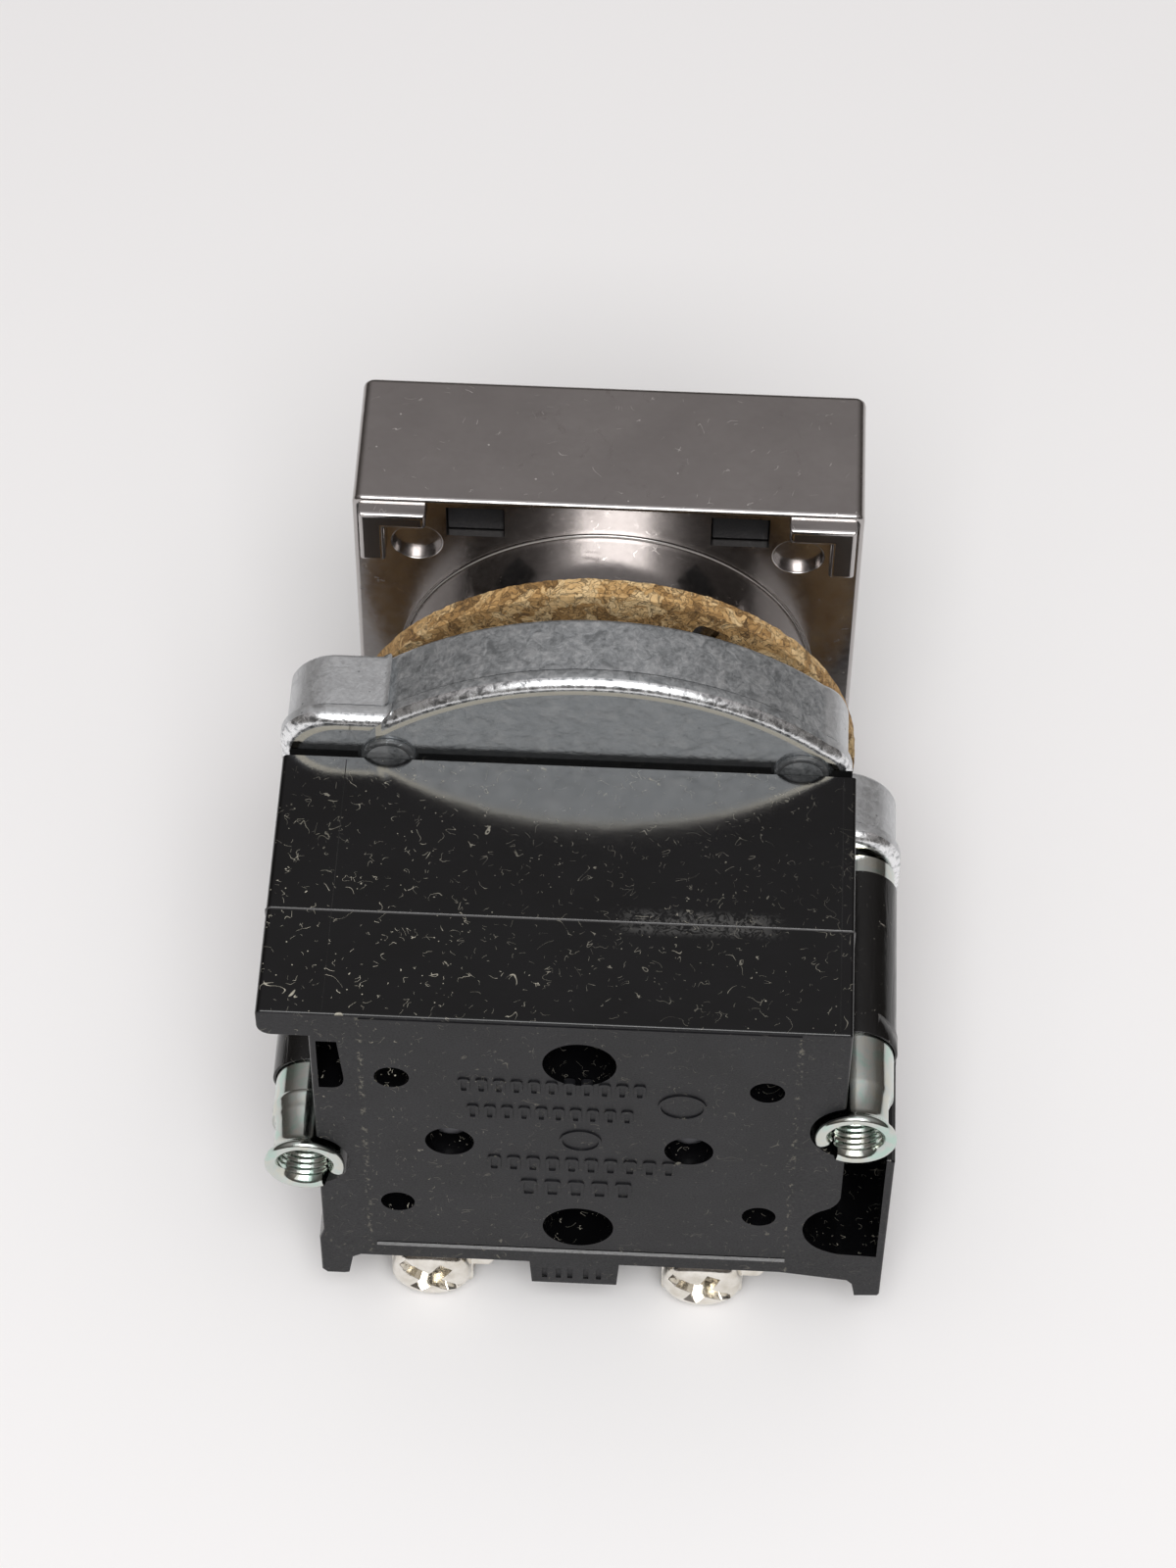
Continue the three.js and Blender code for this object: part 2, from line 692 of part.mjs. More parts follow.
/** A pan-head screw with a straight slot and a cross, its head towards the rear. */
function terminalScrew(name) {
  const { side, tier } = STRIPS[name];
  const seat = TIERS[tier] + STRIP + 1 + 2 * GAP;
  const head = 2.0;
  const centre = [SCREW_X[side], SCREW_Y];
  const [x, y] = centre;
  const body = turned(
    [
      [0, seat - 5.0],
      [1.2, seat - 5.0],
      [1.6, seat - 4.4],
      [1.6, seat],
      [SCREW_HEAD, seat],
      [SCREW_HEAD, seat + 1.1],
      [2.8, seat + 1.8],
      [1.6, seat + head],
      [0, seat + head],
    ],
    centre,
    20,
  );
  const slot = block(x - 4, x + 4, y - 0.45, y + 0.45, seat + 1.1, seat + head + 1);
  const cross = block(x - 0.45, x + 0.45, y - 1.8, y + 1.8, seat + 1.1, seat + head + 1);
  return piece(`terminal_screw_${name}`, cutAll(body, [slot, cross]), nickel);
}

// ---------------------------------------------------------------- tubes, sleeves and long screws

/** A rolled steel tube, split along its outer side, its rear end curled out over the housing. */
function guideTube(side) {
  const [x, y] = TUBES[side];
  const inner = 1.85;
  const section = [
    [inner, FLANGE_REAR + 0.45],
    [TUBE_RADIUS, FLANGE_REAR + 0.45],
    [TUBE_RADIUS, 62.0],
    [TUBE_WAIST, 62.8],
    [TUBE_WAIST, 65.2],
    [3.4, 65.8],
    [3.4, 66.2],
    [2.6, TUBE_REAR],
    [inner, 65.7],
  ];
  const outward = Math.sign(x);
  const seam = block(
    outward > 0 ? x : x - 5,
    outward > 0 ? x + 5 : x,
    y - 0.15,
    y + 0.15,
    FLANGE_REAR,
    BLOCK_REAR + 2,
  );
  const tube = turnedRing(section, [x, y], 20);
  return piece(`guide_tube_${side}`, tube.subtract(seam), steel);
}

function insulatingSleeve(side) {
  const section = [
    [TUBE_RADIUS + 0.1, 40.9],
    [SLEEVE_RADIUS, 40.9],
    [SLEEVE_RADIUS, 57.6],
    [TUBE_RADIUS + 0.1, 57.6],
  ];
  return piece(`insulating_sleeve_${side}`, turnedRing(section, TUBES[side], 20), sleevePlastic);
}

/** A straight screw with a slotted head that fits inside its tube or well. */
function longScrew(name, centre, { tip, seat, top, shank, head }) {
  const [x, y] = centre;
  const body = turned(
    [
      [0, tip],
      [shank - 0.4, tip],
      [shank, tip + 0.5],
      [shank, seat],
      [head, seat],
      [head, top],
      [0, top],
    ],
    centre,
    16,
  );
  const slot = block(x - 4, x + 4, y - 0.4, y + 0.4, top - 0.9, top + 1);
  return piece(name, body.subtract(slot), steel);
}

function housingPin(name, [sx, sy]) {
  return piece(`housing_pin_${name}`, rod(1.15, 41.0, 63.2, [sx * PIN_X, sy * PIN_Y], 12), steel);
}

// ---------------------------------------------------------------- assembly

const device = new THREE.Group();
device.add(
  bezelHousing(),
  frontFrame(),
  buttonCap(),
  buttonCarrier(),
  returnSpring(),
  mountingHub(),
  stemSeal(),
  sealWasher(),
  corkGasket(),
  pusherPlate(),
  stemClip(),
  clampFlange(),
  blockGasket(),
  ...housings(),
);
for (const [name, signs] of Object.entries(CORNERS)) {
  device.add(flangeRivet(name, signs), housingPin(name, signs));
}
for (const side of ['left', 'right']) {
  device.add(plunger(side), contactBridge(side), bridgeSpring(side), plungerSpring(side));
  device.add(guideTube(side), insulatingSleeve(side));
  device.add(longScrew(`clamp_screw_${side}`, TUBES[side], CLAMP_SCREW));
}
for (const [name, centre] of Object.entries(BLOCK_SCREWS)) {
  device.add(longScrew(`block_screw_${name}`, centre, BLOCK_SCREW));
}
for (const name of Object.keys(STRIPS)) {
  device.add(contactStrip(name), pressurePlate(name), terminalScrew(name));
}

// The row stands on the flange's lowest point, with the origin below the middle of its depth.
device.rotation.x = Math.PI / 2;
device.position.set(0, (BUTTON_FRONT + TUBE_REAR) / 2, FLANGE_RADIUS);

const group = new THREE.Group();
group.add(device);

export default group;
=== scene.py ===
"""Looks of a square-bezel panel pushbutton with its clamp flange and contact block.

Shapes are drawn in the device's own millimetres: x to the right as seen from behind, y up, and z from the
front of the bezel towards the rear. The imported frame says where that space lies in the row.
"""

import json
from math import acos, cos, degrees, pi, radians, sin

import bmesh
import bpy
from mathutils import Matrix, Vector, noise


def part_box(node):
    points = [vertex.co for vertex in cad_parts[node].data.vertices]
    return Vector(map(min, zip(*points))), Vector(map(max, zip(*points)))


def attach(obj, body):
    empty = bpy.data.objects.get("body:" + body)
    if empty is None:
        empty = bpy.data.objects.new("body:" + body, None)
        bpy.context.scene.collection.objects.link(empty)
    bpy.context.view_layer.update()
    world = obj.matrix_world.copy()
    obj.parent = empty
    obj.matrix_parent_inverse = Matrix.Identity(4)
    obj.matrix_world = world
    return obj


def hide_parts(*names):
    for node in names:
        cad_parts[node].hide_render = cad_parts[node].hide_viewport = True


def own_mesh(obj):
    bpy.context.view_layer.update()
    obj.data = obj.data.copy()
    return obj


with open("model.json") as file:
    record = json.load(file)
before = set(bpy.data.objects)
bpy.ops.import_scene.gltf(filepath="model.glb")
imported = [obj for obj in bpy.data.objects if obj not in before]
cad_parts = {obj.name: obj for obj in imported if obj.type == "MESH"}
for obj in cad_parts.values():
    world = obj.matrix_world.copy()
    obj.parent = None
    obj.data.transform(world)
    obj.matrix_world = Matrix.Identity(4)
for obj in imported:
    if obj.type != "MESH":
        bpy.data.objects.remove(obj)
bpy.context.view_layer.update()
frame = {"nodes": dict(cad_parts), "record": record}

# ---------------------------------------------------------------- the device's own space

MM = 0.001
FRONT_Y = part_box("bezel_housing")[1].y
AXIS_Z = (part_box("clamp_flange")[0].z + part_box("clamp_flange")[1].z) / 2
DEVICE = (
    Matrix.Translation((0, FRONT_Y, AXIS_Z))
    @ Matrix.Rotation(pi / 2, 4, "X")
    @ Matrix.Scale(MM, 4)
)
CORNERS = {"upper_left": (-1, 1), "upper_right": (1, 1), "lower_left": (-1, -1), "lower_right": (1, -1)}
SIDES = ("left", "right")
BODY_OF = {node: body for body, nodes in frame["record"]["behaviour"]["bodies"].items() for node in nodes}
RIVETS = [f"flange_rivet_{corner}" for corner in CORNERS]
PINS = [f"housing_pin_{corner}" for corner in CORNERS]
CLAMP_SCREWS = [f"clamp_screw_{side}" for side in SIDES]
TUBES = [f"guide_tube_{side}" for side in SIDES]
PLUNGERS = [f"plunger_{side}" for side in SIDES]
BLOCK_SCREWS = ["block_screw_upper", "block_screw_lower"]
TERMINALS = ("left_front", "left_rear", "right_front", "right_rear")


def span(node):
    """(lowest corner, highest corner) of a CAD node, in device millimetres."""
    low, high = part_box(node)
    return (
        Vector((low.x, low.z - AXIS_Z, FRONT_Y - high.y)) / MM,
        Vector((high.x, high.z - AXIS_Z, FRONT_Y - low.y)) / MM,
    )


def middle(node):
    """(x, y) of the middle of a CAD node."""
    low, high = span(node)
    return (low.x + high.x) / 2, (low.y + high.y) / 2


# ---------------------------------------------------------------- outlines


def arc(cx, cy, radius, start, end, steps=8):
    """Points along an arc from start to end, in degrees, with both of its ends."""
    angles = [radians(start + (end - start) * i / steps) for i in range(steps + 1)]
    return [(cx + radius * cos(a), cy + radius * sin(a)) for a in angles]


def circle(cx, cy, radius, steps=48):
    return arc(cx, cy, radius, 0, 360, steps)[:-1]


def curve(start, control, end, steps=8):
    """Points along a quadratic curve, without its first."""
    places = [i / steps for i in range(1, steps + 1)]
    return [
        tuple((1 - t) ** 2 * s + 2 * t * (1 - t) * c + t * t * e for s, c, e in zip(start, control, end))
        for t in places
    ]


def rounded_rect(half_x, half_y, corner, steps=8):
    return (
        arc(half_x - corner, half_y - corner, corner, 0, 90, steps)
        + arc(-half_x + corner, half_y - corner, corner, 90, 180, steps)
        + arc(-half_x + corner, -half_y + corner, corner, 180, 270, steps)
        + arc(half_x - corner, -half_y + corner, corner, 270, 360, steps)
    )


def rounded_square(half, corner, steps=8):
    return rounded_rect(half, half, corner, steps)


def rectangle(x0, x1, y0, y1):
    return [(x0, y0), (x1, y0), (x1, y1), (x0, y1)]


def moved(outline, x, y):
    return [(x + dx, y + dy) for dx, dy in outline]


def at(z, outline):
    """An outline as a ring of points at one depth."""
    return [(x, y, z) for x, y in outline]


def polar(centre, radius, angle, z):
    return centre[0] + radius * cos(angle), centre[1] + radius * sin(angle), z


# ---------------------------------------------------------------- solids


def placed(name, data):
    """A new object in the scene."""
    obj = bpy.data.objects.new(name, data)
    bpy.context.scene.collection.objects.link(obj)
    return obj


def as_object(name, bm):
    """An object of the given faces, all facing outwards."""
    bmesh.ops.remove_doubles(bm, verts=bm.verts, dist=1e-5)
    bmesh.ops.recalc_face_normals(bm, faces=bm.faces)
    mesh = bpy.data.meshes.new(name)
    bm.to_mesh(mesh)
    bm.free()
    return placed(name, mesh)


def loft(rings, closed=False):
    """A skin over rings of points with equal counts; its ends are capped, or joined when closed."""
    bm = bmesh.new()
    rows = [[bm.verts.new(point) for point in ring] for ring in rings]
    pairs = list(zip(rows, rows[1:]))
    if closed:
        pairs.append((rows[-1], rows[0]))
    for a, b in pairs:
        for i in range(len(a)):
            j = (i + 1) % len(a)
            bm.faces.new((a[i], a[j], b[j], b[i]))
    if not closed:
        bm.faces.new(rows[0][::-1])
        bm.faces.new(rows[-1])
    return as_object("solid", bm)


def prism(outline, z0, z1):
    return loft([at(z, outline) for z in (z0, z1)])


def box(x0, x1, y0, y1, z0, z1):
    return prism(rectangle(x0, x1, y0, y1), z0, z1)


def rounded_prism(outline_at, z0, z1, front=0.0, rear=0.0):
    """A prism whose outline is outline_at(inset), with rounded edges of the given radii on its two ends."""
    steps = 4
    rings = []
    for radius, z, away in ((front, z0, 1), (rear, z1, -1)):
        turns = [pi / 2 * i / steps for i in range(steps + 1)] if radius else [pi / 2]
        edge = [(radius * (1 - sin(t)), z + away * radius * (1 - cos(t))) for t in turns]
        rings += edge if away > 0 else edge[::-1]
    return loft([at(z, outline_at(inset)) for inset, z in rings])


def turned(section, centre=(0, 0), steps=64):
    """A turned body from a closed section of (radius, z) points; points on the axis merge."""
    angles = [2 * pi * i / steps for i in range(steps)]
    return loft([[polar(centre, r, a, z) for r, z in section] for a in angles], closed=True)


def rod(radius, z0, z1, centre=(0, 0), steps=48):
    return prism(circle(*centre, radius, steps), z0, z1)


def rods(nodes, radius, z0, z1, steps):
    """A rod along the middle of each of these CAD nodes."""
    return [rod(radius, z0, z1, middle(node), steps) for node in nodes]


def solidify_modifiers(obj):
    """Makes the result of an object's modifiers its mesh."""
    graph = bpy.context.evaluated_depsgraph_get()
    mesh = bpy.data.meshes.new_from_object(obj.evaluated_get(graph), depsgraph=graph)
    obj.modifiers.clear()
    obj.data = mesh
    return obj


def combine(body, tools, operation):
    """Joins tools to the body, or cuts them out of it, and removes them."""
    for tool in tools:
        step = body.modifiers.new("step", "BOOLEAN")
        step.operation = operation
        step.solver = "EXACT"
        step.object = tool
    solidify_modifiers(body)
    for tool in tools:
        bpy.data.objects.remove(tool)
    return body


def join(body, *tools):
    return combine(body, tools, "UNION")


def cut(body, *tools):
    return combine(body, tools, "DIFFERENCE")


def with_slots(obj, *materials):
    for material in materials:
        obj.data.materials.append(material)
    return obj


def coloured(obj, index):
    """Gives all faces of a tool one of the slots of the body that it will be joined to."""
    obj.data.polygons.foreach_set("material_index", [index] * len(obj.data.polygons))
    return obj


def bevelled(obj, width, segments=2, angle=35):
    """Rounds the outer edges that turn by more than angle degrees; inner corners stay sharp."""
    bm = bmesh.new()
    bm.from_mesh(obj.data)
    weights = bm.edges.layers.float.new("bevel_weight_edge")
    for edge in bm.edges:
        if len(edge.link_faces) == 2 and edge.is_convex and edge.calc_face_angle() > radians(angle):
            edge[weights] = 1.0
    bm.to_mesh(obj.data)
    bm.free()
    bevel = obj.modifiers.new("bevel", "BEVEL")
    bevel.width = width
    bevel.segments = segments
    bevel.limit_method = "WEIGHT"
    bevel.use_clamp_overlap = False
    bevel.miter_outer = "MITER_ARC"
    return solidify_modifiers(obj)


def settle(obj, name, nodes, materials=(), smooth=38):
    """Puts a finished piece in the row, on its body, in place of its CAD nodes."""
    obj.name = name
    obj.data.name = name
    obj.data.transform(DEVICE)
    obj.data.polygons.foreach_set("use_smooth", [True] * len(obj.data.polygons))
    obj.data.set_sharp_from_angle(angle=radians(smooth))
    even = obj.modifiers.new("even normals", "WEIGHTED_NORMAL")
    even.keep_sharp = True
    with_slots(obj, *materials)
    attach(obj, BODY_OF[nodes[0]])
    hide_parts(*nodes)
    return obj


def refined(node, material, bevel=0.08):
    """A finer copy of a CAD node: merged faces, rounded edges and even shading."""
    bm = bmesh.new()
    bm.from_mesh(frame["nodes"][node].data)
    bmesh.ops.transform(bm, matrix=DEVICE.inverted(), verts=bm.verts)
    bmesh.ops.remove_doubles(bm, verts=bm.verts, dist=1e-3)
    bmesh.ops.dissolve_limit(bm, angle_limit=radians(0.5), verts=bm.verts, edges=bm.edges)
    obj = as_object(f"{node}_finished", bm)
    if bevel:
        bevelled(obj, bevel)
    return settle(obj, f"{node}_finished", [node], [material])


def spring(node):
    """A coil spring: a finer steel copy of its CAD node, with a mesh of its own."""
    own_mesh(refined(node, STEEL, 0))


# ---------------------------------------------------------------- materials


class Nodes:
    """The nodes of a material or of the world."""

    def __init__(self, owner):
        owner.use_nodes = True
        self.tree = owner.node_tree

    def node(self, kind, inputs=None, **settings):
        made = self.tree.nodes.new("ShaderNode" + kind)
        for key, value in settings.items():
            setattr(made, key, value)
        for key, value in (inputs or {}).items():
            self.feed(made.inputs[key], value)
        return made

    def out(self, kind, inputs=None, output=0, **settings):
        return self.node(kind, inputs, **settings).outputs[output]

    def feed(self, socket, value):
        if isinstance(value, bpy.types.NodeSocket):
            self.tree.links.new(value, socket)
        else:
            socket.default_value = value

    def ramp(self, value, *stops):
        """A colour that runs through these (value, colour) stops."""
        made = self.node("ValToRGB", {"Fac": value})
        points = made.color_ramp.elements
        while len(points) < len(stops):
            points.new(0.5)
        for point, (place, color) in zip(points, stops):
            point.position = place
            point.color = (*color, 1.0)
        return made.outputs["Color"]


class Finish(Nodes):
    """A procedural material. Its textures are placed in the millimetres of the row."""

    def __init__(self, name, color, roughness, metallic=0.0, **constants):
        self.material = bpy.data.materials.new(name)
        super().__init__(self.material)
        self.shader = self.tree.nodes["Principled BSDF"]
        self.set("Base Color", (*color, 1.0))
        self.set("Roughness", roughness)
        self.set("Metallic", metallic)
        for socket, value in constants.items():
            self.set(socket.replace("_", " ").title().replace("Ior", "IOR"), value)
        place = self.out("TexCoord", output="Object")
        self.place = self.out("Mapping", {"Vector": place, "Scale": (1 / MM,) * 3})

    def set(self, socket, value):
        self.feed(self.shader.inputs[socket], value)

    def color(self, value):
        self.set("Base Color", value)

    def roughness(self, value):
        self.set("Roughness", value)

    def stretched(self, scale, turn=(0, 0, 0)):
        turned_by = tuple(radians(a) for a in turn)
        return self.out("Mapping", {"Vector": self.place, "Scale": scale, "Rotation": turned_by})

    def noise(self, scale, detail=3.0, distortion=0.0, place=None, roughness=0.55):
        inputs = {
            "Vector": place or self.place,
            "Scale": scale,
            "Detail": detail,
            "Roughness": roughness,
            "Distortion": distortion,
        }
        return self.out("TexNoise", inputs, "Fac")

    def cells(self, scale, feature="F1", place=None):
        return self.node("TexVoronoi", {"Vector": place or self.place, "Scale": scale}, feature=feature)

    def step(self, value, low, high, start=0.0, end=1.0):
        """start below low, end above high, and a smooth change between them."""
        inputs = {"Value": value, 1: low, 2: high, 3: start, 4: end}
        return self.out("MapRange", inputs, interpolation_type="SMOOTHSTEP")

    def maths(self, operation, *values):
        return self.out("Math", dict(enumerate(values)), operation=operation)

    def chained(self, operation, result, *others):
        for other in others:
            result = self.maths(operation, result, other)
        return result

    def sum(self, *values):
        return self.chained("ADD", *values)

    def product(self, *values):
        return self.chained("MULTIPLY", *values)

    def largest(self, *values):
        return self.chained("MAXIMUM", *values)

    def distance(self, a, b):
        return self.maths("ABSOLUTE", self.maths("SUBTRACT", a, b))

    def blend(self, factor, a, b):
        """Colour a where factor is 0 and b where it is 1."""
        a, b = [(*c, 1.0) if isinstance(c, tuple) else c for c in (a, b)]
        return self.out("Mix", {0: factor, 6: a, 7: b}, 2, data_type="RGBA")

    def bump(self, height, depth, strength=1.0):
        """Relief of the given depth in millimetres; layers add up."""
        inputs = {"Height": height, "Distance": depth * MM, "Strength": strength}
        linked = self.shader.inputs["Normal"].links
        if linked:
            inputs["Normal"] = linked[0].from_socket
        self.set("Normal", self.out("Bump", inputs))

    def specks(self, scale, size, patchy=0.0):
        """1 on small round grains, scattered unevenly when patchy."""
        grain = self.cells(scale)
        spot = self.step(grain.outputs["Distance"], size * 0.6, size, 1.0, 0.0)
        return self.product(spot, self.step(self.random(grain), patchy, patchy + 0.05))

    def warped(self, scale, pull, place=None):
        """Places pushed about by up to half of pull, in millimetres, so that textures on them curl."""
        place = place or self.place
        push = self.out("TexNoise", {"Vector": place, "Scale": scale, "Detail": 2.0}, "Color")
        push = self.out("VectorMath", {0: push, "Scale": pull}, operation="SCALE")
        return self.out("VectorMath", {0: place, 1: push}, operation="ADD")

    def random(self, cells, channel=0):
        """A number of its own for every cell."""
        return self.out("SeparateColor", {"Color": cells.outputs["Color"]}, channel)

    def along(self, axis):
        """The place along an axis of the row, in millimetres."""
        return self.out("SeparateXYZ", {"Vector": self.place}, axis)

    def upward(self):
        """1 on faces that look up and nearly 0 on the others."""
        normal = self.out("NewGeometry", output="Normal")
        rise = self.out("SeparateXYZ", {"Vector": normal}, 2)
        return self.step(rise, 0.3, 0.9, 0.05, 1.0)

    def within(self, axis, low, high, fade):
        """1 between two planes across an axis of the row, in millimetres, fading out past them."""
        value = self.along(axis)
        above = self.step(value, low - fade, low)
        return self.product(above, self.step(value, high, high + fade, 1.0, 0.0))

    def fibres(self, scale, width, seed, keep=0.6):
        """1 on short curly threads: contour lines of a noise, kept only where a second one is high."""
        shifted = self.out("Mapping", {"Vector": self.place, "Location": (seed, 2.3 * seed, 1.7 * seed)})
        field = self.noise(scale, detail=1.5, distortion=0.8, place=shifted)
        line = self.step(self.distance(field, 0.5), width * 0.5, width, 1.0, 0.0)
        chance = self.noise(scale * 2.1, detail=0.0, place=shifted)
        return self.product(line, self.step(chance, keep, keep + 0.03))


def black_chrome():
    made = Finish("black_chrome", (0.54, 0.52, 0.50), 0.2, 1.0)
    broad = made.noise(0.12, detail=4)
    fine = made.noise(1.6, detail=5)
    tone = made.ramp(broad, (0.3, (0.385, 0.365, 0.357)), (0.7, (0.445, 0.424, 0.414)))
    stain = made.step(made.noise(0.42, detail=6, distortion=1.2), 0.62, 0.74)
    tone = made.blend(made.product(stain, 0.3), tone, (0.19, 0.15, 0.145))
    # painted shade: a darker base between the upper pads and on the neck dims the key light's reflection
    # there
    inner = made.product(made.within(0, -14.0, 14.0, 5.0), made.within(1, 4.0, 17.1, 0.3))
    tone = made.blend(made.product(inner, 0.5), tone, (0.16, 0.15, 0.146))
    nick = made.fibres(0.42, 0.0035, 4.2, 0.66)
    pit = made.specks(0.5, 0.06, 0.55)
    worn = made.largest(nick, pit)
    made.color(made.blend(made.product(worn, 0.9), tone, (0.95, 0.93, 0.9)))
    made.roughness(made.sum(made.step(fine, 0.25, 0.8, 0.16, 0.25), made.product(stain, 0.1)))
    made.bump(fine, 0.004, 0.6)
    made.bump(made.noise(0.45, detail=3), 0.03, 0.5)
    return made.material


def zinc_casting(name="zinc", low=0.25, high=0.58, metallic=0.8, rough=(0.34, 0.52), pale_ears=True):
    """Die-cast zinc with a blue-grey, mottled skin."""
    made = Finish(name, (0.3, 0.32, 0.33), 0.45, metallic)
    place = made.warped(0.6, 1.6)
    cloud = made.noise(0.75, detail=6, distortion=0.9, roughness=0.68, place=place)
    grain = made.noise(2.8, detail=4, distortion=0.6)
    tone = made.ramp(
        made.sum(made.product(cloud, 0.75), made.product(grain, 0.25)),
        (0.38, (low, low * 1.05, low * 1.08)),
        (0.5, tuple((low + high) / 2 * f for f in (0.96, 1.0, 1.03))),
        (0.64, (high, high * 1.02, high * 1.03)),
    )
    curl = made.step(made.noise(1.3, detail=3, distortion=2.4, place=place), 0.60, 0.66)
    pit = made.specks(0.9, 0.12, 0.7)
    tone = made.blend(made.product(curl, 0.32), tone, (0.62, 0.64, 0.66))
    if pale_ears:
        ears = made.sum(made.within(0, -40.0, -17.6, 0.6), made.within(0, 19.5, 40.0, 0.6))
        tone = made.blend(made.product(ears, 0.6), tone, (0.70, 0.71, 0.72))
    made.color(made.blend(made.product(pit, 0.5), tone, (0.10, 0.105, 0.11)))
    made.roughness(made.step(grain, 0.3, 0.7, *rough))
    made.bump(cloud, 0.12, 0.5)
    made.bump(grain, 0.03, 0.5)
    return made.material


def worn_zinc_edge_and_highlight():
    # lighter zinc for the lip's rounded rear edge: partly real wear, partly a painted highlight
    made = Finish("zinc_worn_edge_and_highlight", (0.75, 0.76, 0.77), 0.3, 0.95)
    nick = made.noise(1.8, detail=5, distortion=0.5)
    made.color(made.ramp(nick, (0.36, (0.34, 0.35, 0.36)), (0.52, (0.84, 0.85, 0.86))))
    made.roughness(made.step(nick, 0.3, 0.7, 0.16, 0.3))
    made.bump(nick, 0.04, 0.6)
    return made.material


def rim_worn_and_highlight():
    """The outer edge of the flange's face, worn bright, and a little yellow as a painted highlight."""
    made = Finish("zinc_rim_worn_and_highlight", (0.98, 0.93, 0.80), 0.08, 1.0)
    wear = made.noise(1.6, detail=4, distortion=0.8)
    made.roughness(made.step(wear, 0.35, 0.65, 0.04, 0.13))
    made.bump(wear, 0.03, 0.4)
    return made.material


def zinc_plate():
    """Bright zinc-plated steel with a faint blue-green passivation."""
    tint = (0.58, 0.61, 0.58)
    rough = 0.11
    made = Finish("steel", tint, rough, 1.0)
    film = made.noise(0.5, detail=3, distortion=1.0)
    green = tuple(t * f for t, f in zip(tint, (0.84, 1.03, 0.97)))
    warm = tuple(t * f for t, f in zip(tint, (1.06, 1.02, 0.95)))
    made.color(made.ramp(film, (0.35, green), (0.5, tint), (0.65, warm)))
    draw = made.noise(5.0, detail=3, place=made.stretched((1.0, 0.08, 1.0)))
    made.roughness(made.step(draw, 0.3, 0.75, rough * 0.8, rough * 1.6))
    made.bump(draw, 0.006, 0.6)
    return made.material


def nickel_plate():
    made = Finish("nickel", (0.80, 0.76, 0.69), 0.14, 1.0)
    film = made.noise(0.8, detail=4)
    made.color(made.ramp(film, (0.3, (0.68, 0.64, 0.56)), (0.6, (0.86, 0.83, 0.77))))
    made.roughness(made.step(made.noise(4.0, detail=4), 0.3, 0.8, 0.10, 0.24))
    made.bump(made.noise(2.2, detail=3), 0.012, 0.5)
    return made.material


def strip_metal(name, color):
    """Rolled brass or copper strip: fine lines along one way and a dull film in patches."""
    rough = 0.32
    made = Finish(name, color, rough, 1.0)
    film = made.noise(0.7, detail=5, distortion=0.7)
    dull = tuple(c * 0.62 for c in color)
    made.color(made.ramp(film, (0.35, dull), (0.6, color)))
    lines = made.noise(6.0, detail=2, place=made.stretched((0.1, 1.0, 1.0)))
    made.roughness(made.step(lines, 0.3, 0.7, rough * 0.8, rough * 1.4))
    made.bump(lines, 0.008, 0.6)
    return made.material


def cork_sheet():
    """Pressed cork: torn, curled flakes of several sizes, with dark pores between some of them."""
    made = Finish("cork", (0.5, 0.36, 0.2), 0.9)
    place = made.warped(1.5, 0.9, made.warped(0.45, 2.6))
    flakes = made.cells(0.62, place=place)
    chips = made.cells(1.5, place=place)
    streak = made.noise(1.9, detail=5, distortion=2.2, place=place)
    mix = made.sum(made.product(made.random(flakes), 0.42), made.product(made.random(chips, 1), 0.22))
    shade = made.sum(mix, made.product(streak, 0.42))
    tone = made.ramp(
        shade,
        (0.22, (0.19, 0.105, 0.035)),
        (0.38, (0.42, 0.24, 0.085)),
        (0.55, (0.62, 0.39, 0.165)),
        (0.78, (0.82, 0.60, 0.32)),
    )
    edge = made.cells(1.5, "DISTANCE_TO_EDGE", place).outputs["Distance"]
    seam = made.product(made.step(edge, 0.0, 0.09, 1.0, 0.0), made.step(streak, 0.42, 0.55))
    pore = made.step(made.noise(1.15, detail=5, distortion=1.6, place=place), 0.59, 0.66)
    dark = made.largest(made.product(seam, 0.55), made.product(pore, 0.7))
    made.color(made.blend(dark, tone, (0.10, 0.062, 0.03)))
    height = made.sum(made.product(dark, -1.0), made.product(streak, 0.6))
    made.bump(height, 0.32, 0.9)
    return made.material


